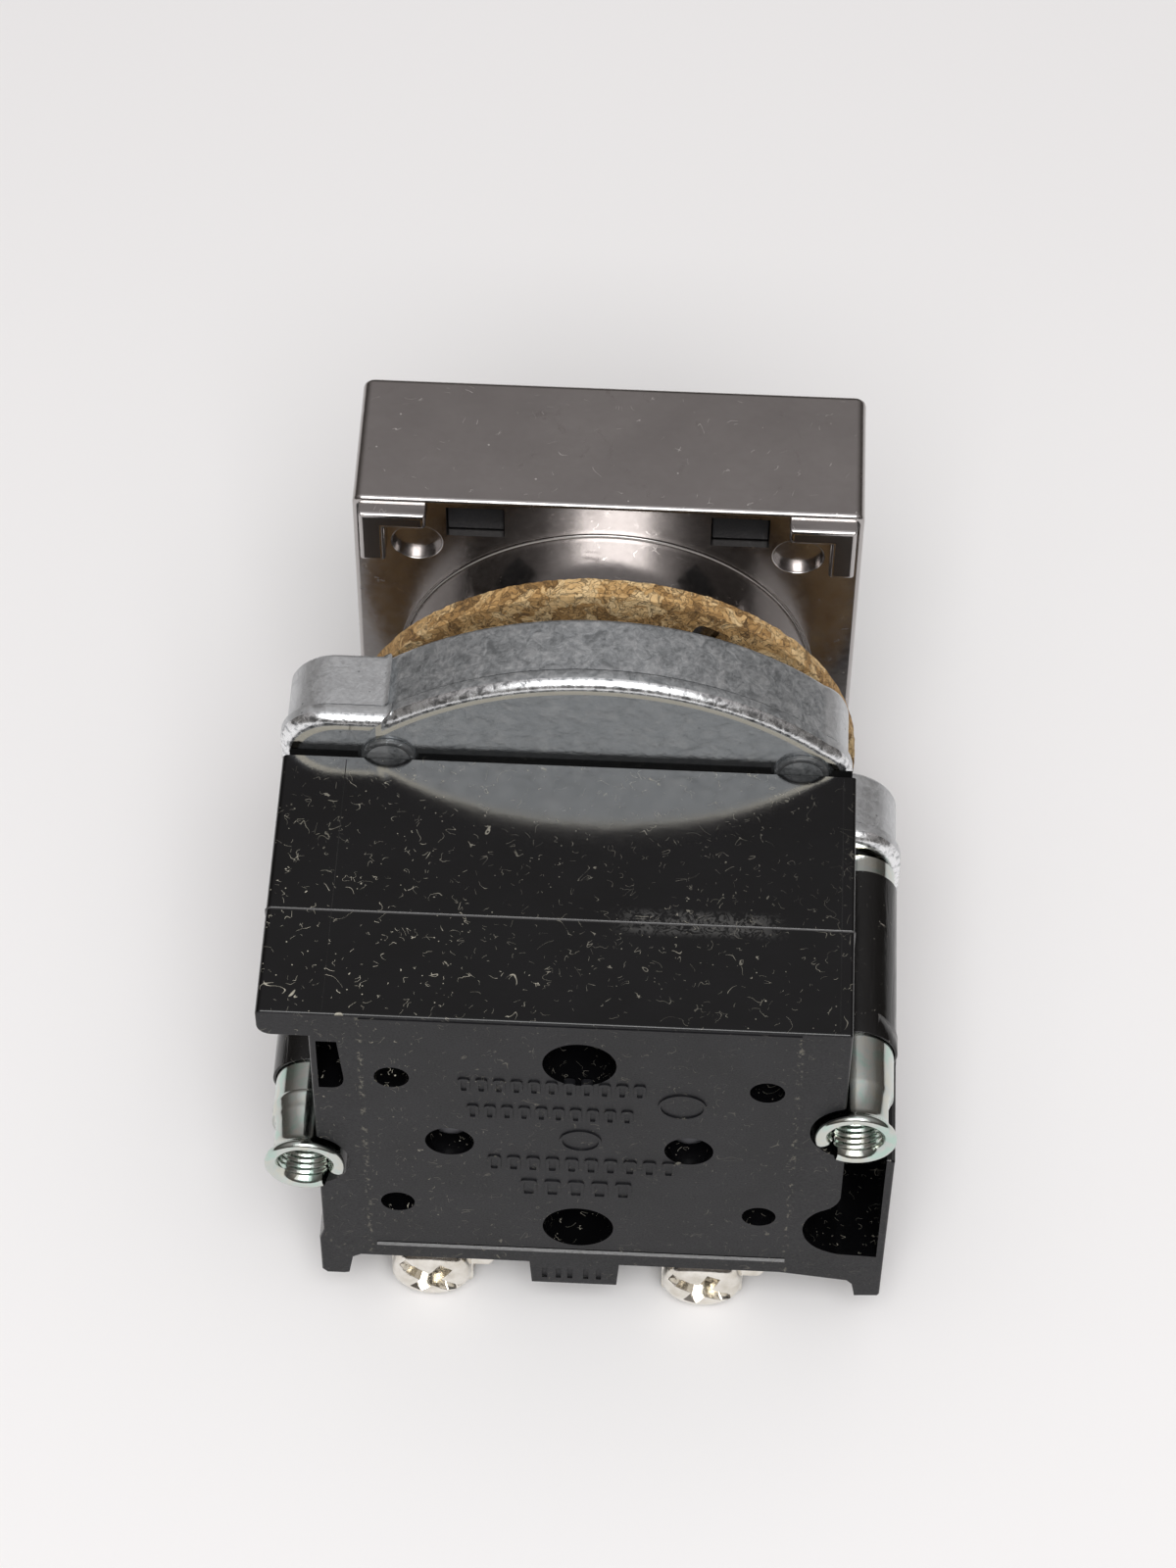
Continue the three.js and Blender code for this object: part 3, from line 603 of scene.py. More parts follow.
def moulded_black(name, rough, grain_depth, dust, color=(0.0018, 0.0018, 0.0021), ior=1.405, marks=""):
    """Black phenolic moulding with dust, lint and fine scuffs on it."""
    made = Finish(name, color, rough, ior=ior)
    fine = made.noise(6.0, detail=4)
    broad = made.noise(0.2, detail=3)
    grains = made.specks(0.6, 0.055, 0.6)
    grit = made.product(made.specks(1.7, 0.12, 0.80), 0.7)
    lint = made.largest(made.fibres(0.38, 0.0044, 3.1, 0.618), made.fibres(0.7, 0.0064, 8.7, 0.622))
    lint = made.product(lint, made.step(made.noise(0.9), 0.3, 0.7, 0.45, 1.0))
    # most of the dust lies towards the rear and the left
    left = made.step(made.along(0), -18.0, 0.0, 1.0, 0.5)
    rear = made.step(made.along(1), -30.0, -12.0, 1.0, 0.5)
    drift = made.step(made.noise(0.12, detail=3), 0.36, 0.6, 0.5, 1.25)
    dirt = made.product(made.largest(grains, grit, lint), made.product(left, rear, drift))
    tone = made.ramp(broad, (0.35, color), (0.65, tuple(c * 1.6 for c in color)))
    gloss = made.step(fine, 0.3, 0.75, rough * 0.85, rough * 1.25)
    if marks == "scuffed":
        dirt = made.product(dirt, made.upward())
        patch = made.product(made.within(0, 5.0, 13.5, 3.5), made.within(1, -23.7, -22.4, 0.9))
        torn = made.step(made.noise(1.2, detail=6, distortion=2.4), 0.42, 0.58)
        patch = made.product(patch, torn)
        tone = made.blend(made.product(patch, 0.75), tone, (0.065, 0.064, 0.062))
        gloss = made.sum(gloss, made.product(patch, 0.3))
    if marks == "panel":
        across = made.maths("ABSOLUTE", made.along(0))
        rim = made.step(made.distance(across, 17.9), 0.05, 0.35, 1.0, 0.0)
        patchy = made.step(made.noise(2.2, detail=4), 0.54, 0.64, 0.0, 0.6)
        dirt = made.largest(dirt, made.product(rim, patchy))
    made.color(made.blend(made.product(dirt, dust), tone, (0.55, 0.52, 0.43)))
    scuff = made.step(made.noise(1.1, detail=6, distortion=1.5), 0.6, 0.72)
    made.roughness(made.sum(gloss, made.product(scuff, 0.06), made.product(dirt, 0.6)))
    made.bump(fine, grain_depth, 0.7)
    made.bump(broad, 0.05, 0.5)
    return made.material


def grey_moulding():
    color = (0.045, 0.045, 0.05)
    rough = 0.42
    made = Finish("grey_plastic", color, rough)
    broad = made.noise(0.5, detail=3)
    made.color(made.ramp(broad, (0.3, color), (0.7, tuple(c * 1.35 for c in color))))
    made.bump(made.noise(5.0, detail=4), 0.012, 0.6)
    made.roughness(made.step(made.noise(2.0, detail=4), 0.3, 0.7, rough * 0.85, rough * 1.2))
    return made.material


def button_moulding():
    made = Finish("button_plastic", (0.012, 0.16, 0.06), 0.3, coat_weight=0.15, coat_roughness=0.2)
    broad = made.noise(0.15, detail=4)
    tone = made.ramp(broad, (0.35, (0.011, 0.15, 0.055)), (0.65, (0.016, 0.19, 0.075)))
    scratch = made.step(made.noise(2.5, detail=1, place=made.stretched((0.1, 1, 1.6), (0, 30, 0))), 0.7, 0.76)
    made.color(made.blend(made.product(scratch, 0.2), tone, (0.2, 0.42, 0.28)))
    made.roughness(made.sum(made.step(made.noise(1.5, detail=5), 0.3, 0.7, 0.26, 0.38), scratch))
    made.bump(made.noise(4.0, detail=3), 0.008, 0.6)
    return made.material


def wound_sleeve():
    made = Finish("sleeve_plastic", (0.004, 0.0038, 0.0036), 0.2, ior=1.47)
    creases = made.noise(0.7, detail=4, distortion=0.8, place=made.stretched((1.0, 0.25, 1.0)))
    dirt = made.largest(made.specks(1.3, 0.08, 0.8), made.fibres(0.8, 0.006, 5.5, 0.68))
    made.color(made.blend(made.product(dirt, 0.6), (0.004, 0.0038, 0.0036), (0.3, 0.28, 0.24)))
    made.roughness(made.sum(made.step(creases, 0.3, 0.7, 0.14, 0.26), made.product(dirt, 0.5)))
    made.bump(creases, 0.12, 0.6)
    return made.material


def black_rubber():
    made = Finish("rubber", (0.012, 0.012, 0.012), 0.6)
    bloom = made.noise(1.2, detail=5)
    made.color(made.ramp(bloom, (0.3, (0.01, 0.01, 0.01)), (0.7, (0.03, 0.029, 0.028))))
    made.bump(made.noise(5.0, detail=3), 0.02, 0.7)
    return made.material


# lighter chrome: partly real wear, partly a painted highlight line where the neck meets the head
CHROME_WORN_AND_HIGHLIGHT = Finish("chrome_worn_and_highlight", (0.60, 0.57, 0.54), 0.5, 0.7).material
# painted shade: dark chrome on the pads' rear faces stands in for the dark surroundings that they reflect
CHROME_PAINTED_SHADE = Finish("chrome_painted_shade", (0.085, 0.075, 0.07), 0.35, 0.9).material
CHROME = black_chrome()
ZINC = zinc_casting()
ZINC_FACE = zinc_casting("zinc_machined_face", 0.58, 0.76, 0.96, (0.14, 0.23), False)
ZINC_DULL = zinc_casting("zinc_dull", 0.07, 0.12, 0.5, (0.5, 0.6), False)
# the flange's worn bright rim; its yellow tint is a painted highlight
ZINC_RIM = rim_worn_and_highlight()
ZINC_EDGE = worn_zinc_edge_and_highlight()
STEEL = zinc_plate()
NICKEL = nickel_plate()
BRASS = strip_metal("brass", (0.72, 0.55, 0.27))
COPPER = strip_metal("copper", (0.74, 0.40, 0.24))
CORK = cork_sheet()
BLACK_TOP = moulded_black("black_plastic", 0.14, 0.004, 1.0, marks="scuffed")
BLACK_REAR = moulded_black("black_plastic_matte", 0.42, 0.012, 0.38, (0.0055, 0.0055, 0.0065), 1.35, "panel")
# lighter grey plastic: wear on the mould lines and flash, a painted highlight on the ridge below the panel
BLACK_WORN_AND_HIGHLIGHT = moulded_black("black_plastic_worn_and_highlight", 0.38, 0.02, 0.3, (0.034, 0.033, 0.033), 1.5)
BLACK_INNER = moulded_black("black_plastic_plain", 0.6, 0.01, 0.08, (0.006, 0.006, 0.007), 1.4)
BLACK_CARD = moulded_black("black_fibre", 0.8, 0.01, 0.1, (0.0015, 0.0015, 0.0015), 1.15)
GREY = grey_moulding()
SLEEVE = wound_sleeve()
RUBBER = black_rubber()
GREEN = button_moulding()

# ---------------------------------------------------------------- operator

BEZEL_HALF = span("bezel_housing")[1].x
BEZEL_DEPTH = 14.2
BEZEL_CORNER = 0.9
PAD_REAR = 15.7
NECK_RADIUS = 18.4
NECK_REAR = span("bezel_housing")[1].z
CAVITY_HALF = 17.25
CAVITY_CORNER = 2.4
CAVITY_REAR = 11.2
FRAME_HALF = span("front_frame")[1].x
FRAME_REAR = 2.9
LEG = {"inner": 9.0, "outer": 14.1, "low": 17.7, "high": 21.4, "rear": 13.4}
CAP_HOLLOW = 15.2  # half the width of the hollow behind the cap
CAP_FLOOR = 0.4
RECESS = {"x": 16.7, "y": 16.6, "radius": 2.2, "floor": 13.4}
PAD_SIDE, PAD_TOP = 21.6, 21.75
PAD_START, PAD_FOOT, PAD_WIDTH = 15.8, 15.6, 2.2
# depth of the neck's band of worn chrome with its painted highlight line
WORN_AND_HIGHLIGHT_BAND = 0.16
STEM_HOLE = 12.5
HUB_SEAT_FRONT = 17.0
HUB_SEAT_RADIUS = 16.3
HUB_RADIUS = 14.9
HUB_BORE = 5.9
CLIP_ROOM = {"radius": 8.5, "front": 27.0, "rear": 31.5}
PUSHER_ROOM = {"half_x": 13.4, "half_y": 4.4, "corner": 2.0, "front": 31.4}
SHANK_HOLE = 1.8  # radius of the holes for the block screws
HUB_CLEARANCE = 15.3  # radius of the holes that the hub goes through
FIT = 0.3  # clearance between neighbouring pieces


def corner_pad(sx, sy):
    """An L-shaped pad with a rounded rear edge."""

    def arm(inset):
        inner, outer, top = PAD_SIDE - PAD_WIDTH + inset, PAD_SIDE - inset, PAD_TOP - inset
        start, low, foot = PAD_START + inset, 20.0 + inset, PAD_FOOT + inset
        points = [(start, low), (inner, low), (inner, foot), (outer, foot), (outer, top), (start, top)]
        return [(sx * x, sy * y) for x, y in points]

    pad = rounded_prism(arm, BEZEL_DEPTH - 1, PAD_REAR, rear=0.4)
    # the pad's rear face gets slot 2, the chrome with painted shade
    for face in pad.data.polygons:
        if face.center.z > PAD_REAR - 0.01:
            face.material_index = 2
    return pad


def leg_slot(sx, sy, shrink, z0, z1, high=LEG["high"]):
    xs = sorted((sx * (LEG["inner"] + shrink), sx * (LEG["outer"] - shrink)))
    ys = sorted((sy * (LEG["low"] + shrink), sy * (high - shrink)))
    return box(*xs, *ys, z0, z1)


def bezel():
    """The chromed casting: square head with its well, corner pads, leg slots and round neck."""

    def head_outline(inset):
        return rounded_square(BEZEL_HALF - inset, BEZEL_CORNER - inset / 2)

    corners = CORNERS.values()
    body = rounded_prism(head_outline, 0, BEZEL_DEPTH, front=0.7, rear=0.4)
    with_slots(body, CHROME, CHROME_WORN_AND_HIGHLIGHT, CHROME_PAINTED_SHADE)
    worn_and_highlight_to = BEZEL_DEPTH + WORN_AND_HIGHLIGHT_BAND
    depths = (BEZEL_DEPTH - 1, BEZEL_DEPTH, worn_and_highlight_to, NECK_REAR)
    neck = loft([at(z, circle(0, 0, NECK_RADIUS, 160)) for z in depths])
    # the thin band of the neck next to the head is worn and carries a painted highlight line
    for face in neck.data.polygons:
        face.material_index = int(BEZEL_DEPTH < face.center.z < worn_and_highlight_to)
    join(body, neck, *[corner_pad(*signs) for signs in corners])
    groove = moved(rectangle(0.01, 0.2, -0.25, 1), NECK_RADIUS, BEZEL_DEPTH)
    cut(
        body,
        prism(rounded_square(CAVITY_HALF, CAVITY_CORNER), -1, CAVITY_REAR),
        prism(rounded_square(FRAME_HALF + FIT, 1.6), -1, FRAME_REAR + FIT),
        rod(STEM_HOLE, CAVITY_REAR - 1, NECK_REAR + 1, steps=96),
        rod(HUB_SEAT_RADIUS, HUB_SEAT_FRONT, NECK_REAR + 1, steps=96),
        turned(groove, steps=160),
        *[
            rod(RECESS["radius"], RECESS["floor"], PAD_REAR + 1, (sx * RECESS["x"], sy * RECESS["y"]))
            for sx, sy in corners
        ],
    )
    bevelled(body, 0.14, segments=3, angle=50)
    cut(body, *[leg_slot(*signs, 0, FRAME_REAR, BEZEL_DEPTH + 1) for signs in corners])
    settle(body, "bezel_casting", ["bezel_housing"])


def front_frame():
    """The black frame let into the bezel's front, with its four snap legs."""
    leg_fit = 0.1

    def ring_outline(inset):
        return rounded_square(FRAME_HALF - inset, 1.4)

    ring = rounded_prism(ring_outline, span("front_frame")[0].z, FRAME_REAR, front=0.5)
    for signs in CORNERS.values():
        root = leg_slot(*signs, leg_fit, FRAME_REAR - 1, FRAME_REAR + 1, FRAME_HALF + leg_fit)
        join(ring, root, leg_slot(*signs, leg_fit, FRAME_REAR + 0.8, LEG["rear"]))
    cut(ring, prism(rounded_square(CAVITY_HALF + 0.2, CAVITY_CORNER + 0.1), -1, FRAME_REAR))
    bevelled(ring, 0.12)
    settle(ring, "front_frame_moulding", ["front_frame"], [BLACK_INNER])


def button_cap():
    """The square cap: a softly crowned face with rounded edges, hollow behind."""
    low, high = span("button_cap")

    def cap_outline(inset):
        return rounded_square(high.x - inset, 2.2 - min(inset, 1.0))

    crown = ((8, 0), (4, 0.05), (1.6, 0.2), (0.8, 0.45), (0.3, 0.9), (0.05, 1.6), (0, 2.4))
    outer = loft([at(low.z + depth, cap_outline(inset)) for inset, depth in (*crown, (0, high.z - low.z))])
    cut(outer, prism(rounded_square(CAP_HOLLOW, 1.2), CAP_FLOOR, high.z + 1))
    bevelled(outer, 0.15, angle=60)
    settle(outer, "button_cap_moulding", ["button_cap"], [GREEN])


def cork_gasket():
    """A disc punched from granulated cork: its faces and rim are crumbly, and it has one notch."""
    low, high = span("cork_gasket")
    rough_by = 0.13
    radius = high.x - rough_by
    front, rear = low.z + rough_by, high.z - rough_by
    across = [HUB_CLEARANCE + (radius - HUB_CLEARANCE) * i / 30 for i in range(31)]
    along = [rear + (front - rear) * i / 9 for i in range(1, 9)]
    section = [(r, rear) for r in across]
    section += [(radius, z) for z in along]
    section += [(r, front) for r in across[::-1]]
    disc = turned(section, steps=420)
    for vertex in disc.data.vertices:
        place = vertex.co
        outward = Vector((place.x, place.y, 0)).normalized()
        side = 1 if place.z > (front + rear) / 2 else -1
        coarse = noise.noise(place * 0.9)
        fine = noise.noise(place * 2.7 + Vector((7, 3, 1)))
        rise = rough_by * (0.65 * coarse + 0.35 * fine)
        if place.xy.length > radius - 0.05:
            vertex.co += outward * rise
        if abs(place.z - rear) < 0.05 or abs(place.z - front) < 0.05:
            vertex.co.z += side * rough_by * (0.6 * noise.noise(place * 1.3 + Vector((0, 9, 4))) + 0.4 * fine)
    notch_angle = -0.48
    notch = prism(rounded_rect(1.6, 3.4, 0.6), low.z - 1, high.z + 1)
    notch.data.transform(Matrix.Rotation(notch_angle, 4, "Z") @ Matrix.Translation((0, 17.6, 0)))
    cut(disc, notch)
    settle(disc, "cork_disc", ["cork_gasket"], [CORK], smooth=60)


def mounting_hub():
    """The hub behind the neck, hollow for the stem, the clip and the pusher plate."""
    rear = span("mounting_hub")[1].z
    *room, front = PUSHER_ROOM.values()
    shoulder = rod(HUB_SEAT_RADIUS - FIT, HUB_SEAT_FRONT + FIT, NECK_REAR - FIT, steps=96)
    join(shoulder, rod(HUB_RADIUS, HUB_SEAT_FRONT + 2, rear, steps=128))
    cut(
        shoulder,
        rod(HUB_BORE, 0, rear + 1),
        rod(*CLIP_ROOM.values(), steps=64),
        prism(rounded_rect(*room), front, rear + 1),
        *rods(BLOCK_SCREWS, SHANK_HOLE, front - 0.4, rear + 1, 24),
    )
    bevelled(shoulder, 0.2)
    settle(shoulder, "hub_casting", ["mounting_hub"], [ZINC])


# ---------------------------------------------------------------- clamp flange

FLANGE_FRONT = span("clamp_flange")[0].z
FLANGE_REAR = span("clamp_flange")[1].z
FLANGE_RADIUS = span("clamp_flange")[1].y
FLANGE_SIDE = 21.7
EAR_SIDE = span("clamp_flange")[1].x
EAR_FLAT = 22.5
EAR_STEP = 17.0
LIP_FRONT = 37.0
BODY_INSET = 0.4
EDGE_DEPTH = 0.78


def flange_half(inset):
    """Half of the outline: over the top from the left ear and down to the right ear's lower corner."""
    radius = FLANGE_RADIUS - inset
    side = FLANGE_SIDE - inset
    ear = EAR_SIDE - inset
    flat = EAR_FLAT - inset
    step = EAR_STEP + inset
    start = degrees(acos(-step / radius))
    end = degrees(acos((side - 2.2) / radius))
    over = arc(0, 0, radius, start, end, 48)
    return (
        [(-step - 0.5, flat), (-step, flat + 0.5), *over]
        + curve(over[-1], (side, 19.4), (side, 16.4), 8)
        + [(side, 9.45 - inset), (side + 0.4, 9.05 - inset)]
        + arc(ear - 4.7, 4.35 - inset, 4.7, 90, 0, 12)
        + arc(ear - 4.0, -flat + 4.0, 4.0, 0, -90, 12)
    )


def flange_outline(inset):
    half = flange_half(inset)
    return half + [(-x, -y) for x, y in half]


def clamp_flange():
    """The die casting: a body, and a slightly larger lip with a bright rounded rear edge."""
    groove = 0.3
    # (inset, z) from the front to the rear
    profile = (
        (BODY_INSET + 0.5, FLANGE_FRONT),
        (BODY_INSET + 0.15, FLANGE_FRONT + 0.15),
        (BODY_INSET, FLANGE_FRONT + 0.5),
        (BODY_INSET, LIP_FRONT - 0.25),
        (BODY_INSET + groove, LIP_FRONT - 0.2),
        (BODY_INSET + groove, LIP_FRONT + 0.05),
        (0.10, LIP_FRONT + 0.07),
        (0.0, LIP_FRONT + 0.17),
        (0.0, FLANGE_REAR - EDGE_DEPTH),
        (0.1, FLANGE_REAR - 0.5),
        (0.33, FLANGE_REAR - 0.22),
        (0.62, FLANGE_REAR - 0.06),
        (0.85, FLANGE_REAR),
        (1.35, FLANGE_REAR),
    )
    body = loft([at(z, flange_outline(inset)) for inset, z in profile])
    with_slots(body, ZINC, ZINC_EDGE, ZINC_FACE, ZINC_DULL, ZINC_RIM)
    for face in body.data.polygons:
        if face.center.z > FLANGE_REAR - 0.01:
            # the flat face gets slot 2; the narrow ring round it gets slot 4, the rim with its painted
            # highlight tint
            face.material_index = 2 if len(face.vertices) > 4 else 4
        # the lip's rounded rear edge: worn zinc with a painted highlight
        elif face.center.z > FLANGE_REAR - EDGE_DEPTH:
            face.material_index = 1
        elif face.center.z < FLANGE_FRONT + 0.1:
            face.material_index = 3
    past = FLANGE_REAR + 1
    cut(
        body,
        rod(HUB_CLEARANCE, FLANGE_FRONT - 1, past, steps=128),
        *rods(RIVETS, 1.5, FLANGE_FRONT - 1, past, 24),
        *rods(CLAMP_SCREWS, 1.9, span(CLAMP_SCREWS[0])[0].z - FIT, past, 32),
    )
    settle(body, "flange_casting", ["clamp_flange"], smooth=50)


def flange_rivet(corner):
    """A riveted-over stud with a low flat head."""
    node = f"flange_rivet_{corner}"
    low, high = span(node)
    seat, top = FLANGE_REAR + 0.04, high.z
    section = [
        (0, low.z), (1.2, low.z), (1.2, seat), (2.3, seat), (2.3, top - 0.16), (2.26, top - 0.07),
        (2.16, top - 0.01), (2.05, top), (1.8, top - 0.04), (0, top - 0.05),
    ]
    rivet = turned(section, middle(node), 48)
    centre = Vector((*middle(node), top))
    for face in rivet.data.polygons:
        face.material_index = int((face.center - centre).length < 1.9)
    settle(rivet, f"rivet_{corner}", [node], [ZINC_DULL, ZINC], smooth=45)


# ---------------------------------------------------------------- contact block

BLOCK_FRONT = span("front_housing")[0].z
BLOCK_SPLIT = 55.2
BLOCK_REAR = span("rear_housing")[1].z
BLOCK_LEFT = -22.0
BLOCK_RIGHT = 21.95
BLOCK_TOP = span("rear_housing")[1].y
BLOCK_BOTTOM = -18.8
BARRIER_BOTTOM = span("rear_housing")[0].y
TUBE_RADIUS = 3.1
SLEEVE_RADIUS = span("insulating_sleeve_left")[1].x - middle("insulating_sleeve_left")[0]
PANEL_SIDE = 17.9
PANEL_LOW = -16.55
PANEL_RISE = 0.09
RIDGE_RISE = 0.3
MOULD_LINES = (-20.8, 20.9)
CHAMBERS = ((-18.0, -3.6), (2.0, 16.4))
CHAMBER_Y = 7.7
CHAMBER_ENDS = (42.0, 62.5)
DROPS = ((-13.2, -9.4), (7.6, 11.4))
TIERS = (46.0, 60.0)
STRIP_THICK = 0.8
PIN_HOLE = {"radius": 1.45, "front": 40.7}
SCREW_WELL = {"radius": 3.03, "front": 48.6}
PLUNGER_HOLE = 2.05
POCKET_FRONT, RECESS_FRONT = 47.0, 58.0
OVERHANG = (-26.2, 15.0)
SPLIT_GAP = 0.04
MARK_RISE = 0.14
# rows of raised marks: y, from x, to x, number of marks, half their height
MARK_ROWS = (
    (9.0, -10.2, 5.7, 11, 1.0),
    (5.1, -9.5, 4.7, 10, 1.0),
    (-2.7, -7.9, 8.4, 10, 1.1),
    (-6.4, -5.2, 4.8, 5, 1.2),
)
MARK_OVALS = ((8.5, 7.0, 2.0), (0.15, 1.2, 1.75))  # x, y, half the width
DENTS = (-3.1, -1.9, -0.9, 0.5, 1.6)


def block_outline(grow=0.0):
    """The section as seen from behind: slab, overhangs, and the barriers below the terminals."""
    g = grow
    side, foot = OVERHANG
    return [
        *arc(BLOCK_RIGHT - 0.3, BLOCK_TOP - 0.3, 0.3 + g, 0, 90, 4),
        *arc(side + 0.5, BLOCK_TOP - 0.5, 0.5 + g, 90, 180, 4),
        *arc(side + 1.2, foot + 1.2, 1.2 + g, 180, 270, 6),
        (BLOCK_LEFT - g, foot - g),
        (BLOCK_LEFT - g, -15.0),
        (-22.4 - g, -16.5),
        (-22.4 - g, BARRIER_BOTTOM + 0.5 - g),
        (-21.9, BARRIER_BOTTOM - g),
        (-20.4, BARRIER_BOTTOM - g),
        (-20.0, BARRIER_BOTTOM + 0.3),
        (-19.6, -19.3),
        (-18.9, BLOCK_BOTTOM),
        (-4.2, BLOCK_BOTTOM),
        (-4.0, BARRIER_BOTTOM),
        (3.4, BARRIER_BOTTOM),
        (3.6, BLOCK_BOTTOM),
        (17.5, BLOCK_BOTTOM),
        (23.4, BLOCK_BOTTOM - 0.9),
        (23.9, -20.3),
        (24.2, BARRIER_BOTTOM),
        (26.2, BARRIER_BOTTOM - g),
        (26.4 + g, BARRIER_BOTTOM + 0.3),
        (26.45 + g, -0.4),
        (26.15, -0.1 + g),
        (BLOCK_RIGHT + g, -0.1 + g),
    ]


def block_gasket():
    """The black fibre card in front of the block, cut out round the hub, the rivets and the tubes."""
    low, high = span("block_gasket")
    front, past = low.z - 1, high.z + 1
    step = -21.7
    outline = [(high.x, high.y), (low.x, high.y), (low.x, 16.0), (step, 15.0), (step, low.y), (high.x, low.y)]
    card = prism(outline, low.z, high.z)
    cut(
        card,
        rod(HUB_CLEARANCE, front, past, steps=96),
        *rods(RIVETS, 2.6, front, past, 32),
        *rods(TUBES, TUBE_RADIUS + FIT, front, past, 32),
    )
    settle(card, "fibre_card", ["block_gasket"], [BLACK_CARD])


def side_pocket():
    """The deep pocket in the lower right of the rear face."""
    side = 25.75
    shape = [(side, 1.0), (22.2, 1.0), (22.2, -6.2)]
    shape += curve((22.2, -6.2), (22.0, -7.8), (20.6, -8.5))
    shape += curve((20.6, -8.5), (19.2, -9.6), (19.2, -11.6))
    shape += curve((19.2, -11.6), (19.4, -14.6), (22.4, -15.4))
    shape.append((side, -15.6))
    return prism(shape, POCKET_FRONT, BLOCK_REAR + 1)


def corner_recess():
    """The shallow recess beside the left tube."""
    side, foot = -21.45, 7.6
    shape = [(side, 14.4), (side, foot), (-20.4, foot)]
    shape += curve((-20.4, foot), (-19.3, 7.7), (-19.35, 9.2))
    shape.append((-19.75, 14.4))
    return prism(shape, RECESS_FRONT, BLOCK_REAR + 1)


def block_cuts():
    """Holes for the tubes, pins, screws and plungers, and the chambers and slots of the contacts."""
    front, past = BLOCK_FRONT - 1, BLOCK_REAR + 1
    tools = rods(TUBES, SLEEVE_RADIUS + 0.4, front, past, 64)
    tools += rods(PINS, *PIN_HOLE.values(), past, 32)
    for screw in BLOCK_SCREWS:
        tools += rods([screw], *SCREW_WELL.values(), past, 64)
        tools += rods([screw], SHANK_HOLE, front, SCREW_WELL["front"] + 0.4, 24)
    tools += rods(PLUNGERS, PLUNGER_HOLE, front, past, 48)
    tools += [box(x0, x1, -CHAMBER_Y, CHAMBER_Y, *CHAMBER_ENDS) for x0, x1 in CHAMBERS]
    for x0, x1 in DROPS:
        for z in TIERS:
            high = z + STRIP_THICK + FIT
            tools.append(box(x0 - FIT, x1 + FIT, BLOCK_BOTTOM - 1, -CHAMBER_Y + 1, z - FIT, high))
    return tools + [side_pocket(), corner_recess()]


def mould_lines(z0, z1):
    """Thin raised lines along the top, left by the mould's joints."""
    section = ((-0.12, -0.2), (0.12, -0.2), (0, 0.09))
    return [coloured(prism(moved(section, x, BLOCK_TOP), z0, z1), 2) for x in MOULD_LINES]


def raised_mark(outline, hollow):
    """A low raised shape on the panel, hollow in its middle."""
    high = BLOCK_REAR + PANEL_RISE + MARK_RISE
    mark = prism(outline, BLOCK_REAR - 0.3, high)
    return coloured(cut(mark, prism(hollow, BLOCK_REAR + PANEL_RISE, high + 1)), 1)


def raised_marks():
    """Plain bars in rows on the rear face, and two plain ovals."""
    marks = []
    for y, x0, x1, count, half in MARK_ROWS:
        pitch = (x1 - x0) / count
        wide = pitch * 0.34
        for i in range(count):
            x = x0 + pitch * (i + 0.5)
            outline = moved(rounded_rect(wide, half, 0.3, 3), x, y)
            marks.append(raised_mark(outline, moved(rounded_rect(wide - 0.27, half - 0.3, 0.1, 2), x, y)))
    for x, y, wide in MARK_OVALS:
        ovals = [
            [(x + (wide - inset) * dx, y + (wide * 0.9 - inset) * dy) for dx, dy in circle(0, 0, 1.0)]
            for inset in (0, 0.22)
        ]
        marks.append(raised_mark(*ovals))
    return marks


def paint_rear(obj):
    """The end faces are matt; the rest of the moulding is glossy."""
    for face in obj.data.polygons:
        if face.normal.z > 0.7 and face.center.z > BLOCK_REAR - 1:
            face.material_index = 1


def front_housing():
    rear = BLOCK_SPLIT - SPLIT_GAP
    body = with_slots(prism(block_outline(), BLOCK_FRONT, rear), BLACK_TOP, BLACK_REAR, BLACK_WORN_AND_HIGHLIGHT)
    join(body, *mould_lines(BLOCK_FRONT + 0.3, rear))
    cut(body, *block_cuts())
    settle(body, "front_housing_moulding", ["front_housing"])


def panel_ridge():
    """The narrow rib below the panel; its upper side slopes to the rear, painted grey as a highlight line."""
    high, low = PANEL_LOW, PANEL_LOW - 0.42
    section = [
        (low, BLOCK_REAR - 0.4),
        (high, BLOCK_REAR - 0.4),
        (high, BLOCK_REAR - 0.05),
        (high - 0.19, BLOCK_REAR + RIDGE_RISE - 0.07),
        (low, BLOCK_REAR + RIDGE_RISE - 0.07),
    ]
    ridge = coloured(loft([[(x, y, z) for y, z in section] for x in (-17.4, PANEL_SIDE)]), 1)
    # painted highlight: the sloping upper side gets the lighter grey plastic
    for face in ridge.data.polygons:
        if face.normal.y > 0.3 and abs(face.normal.z) > 0.3:
            face.material_index = 2
    return ridge


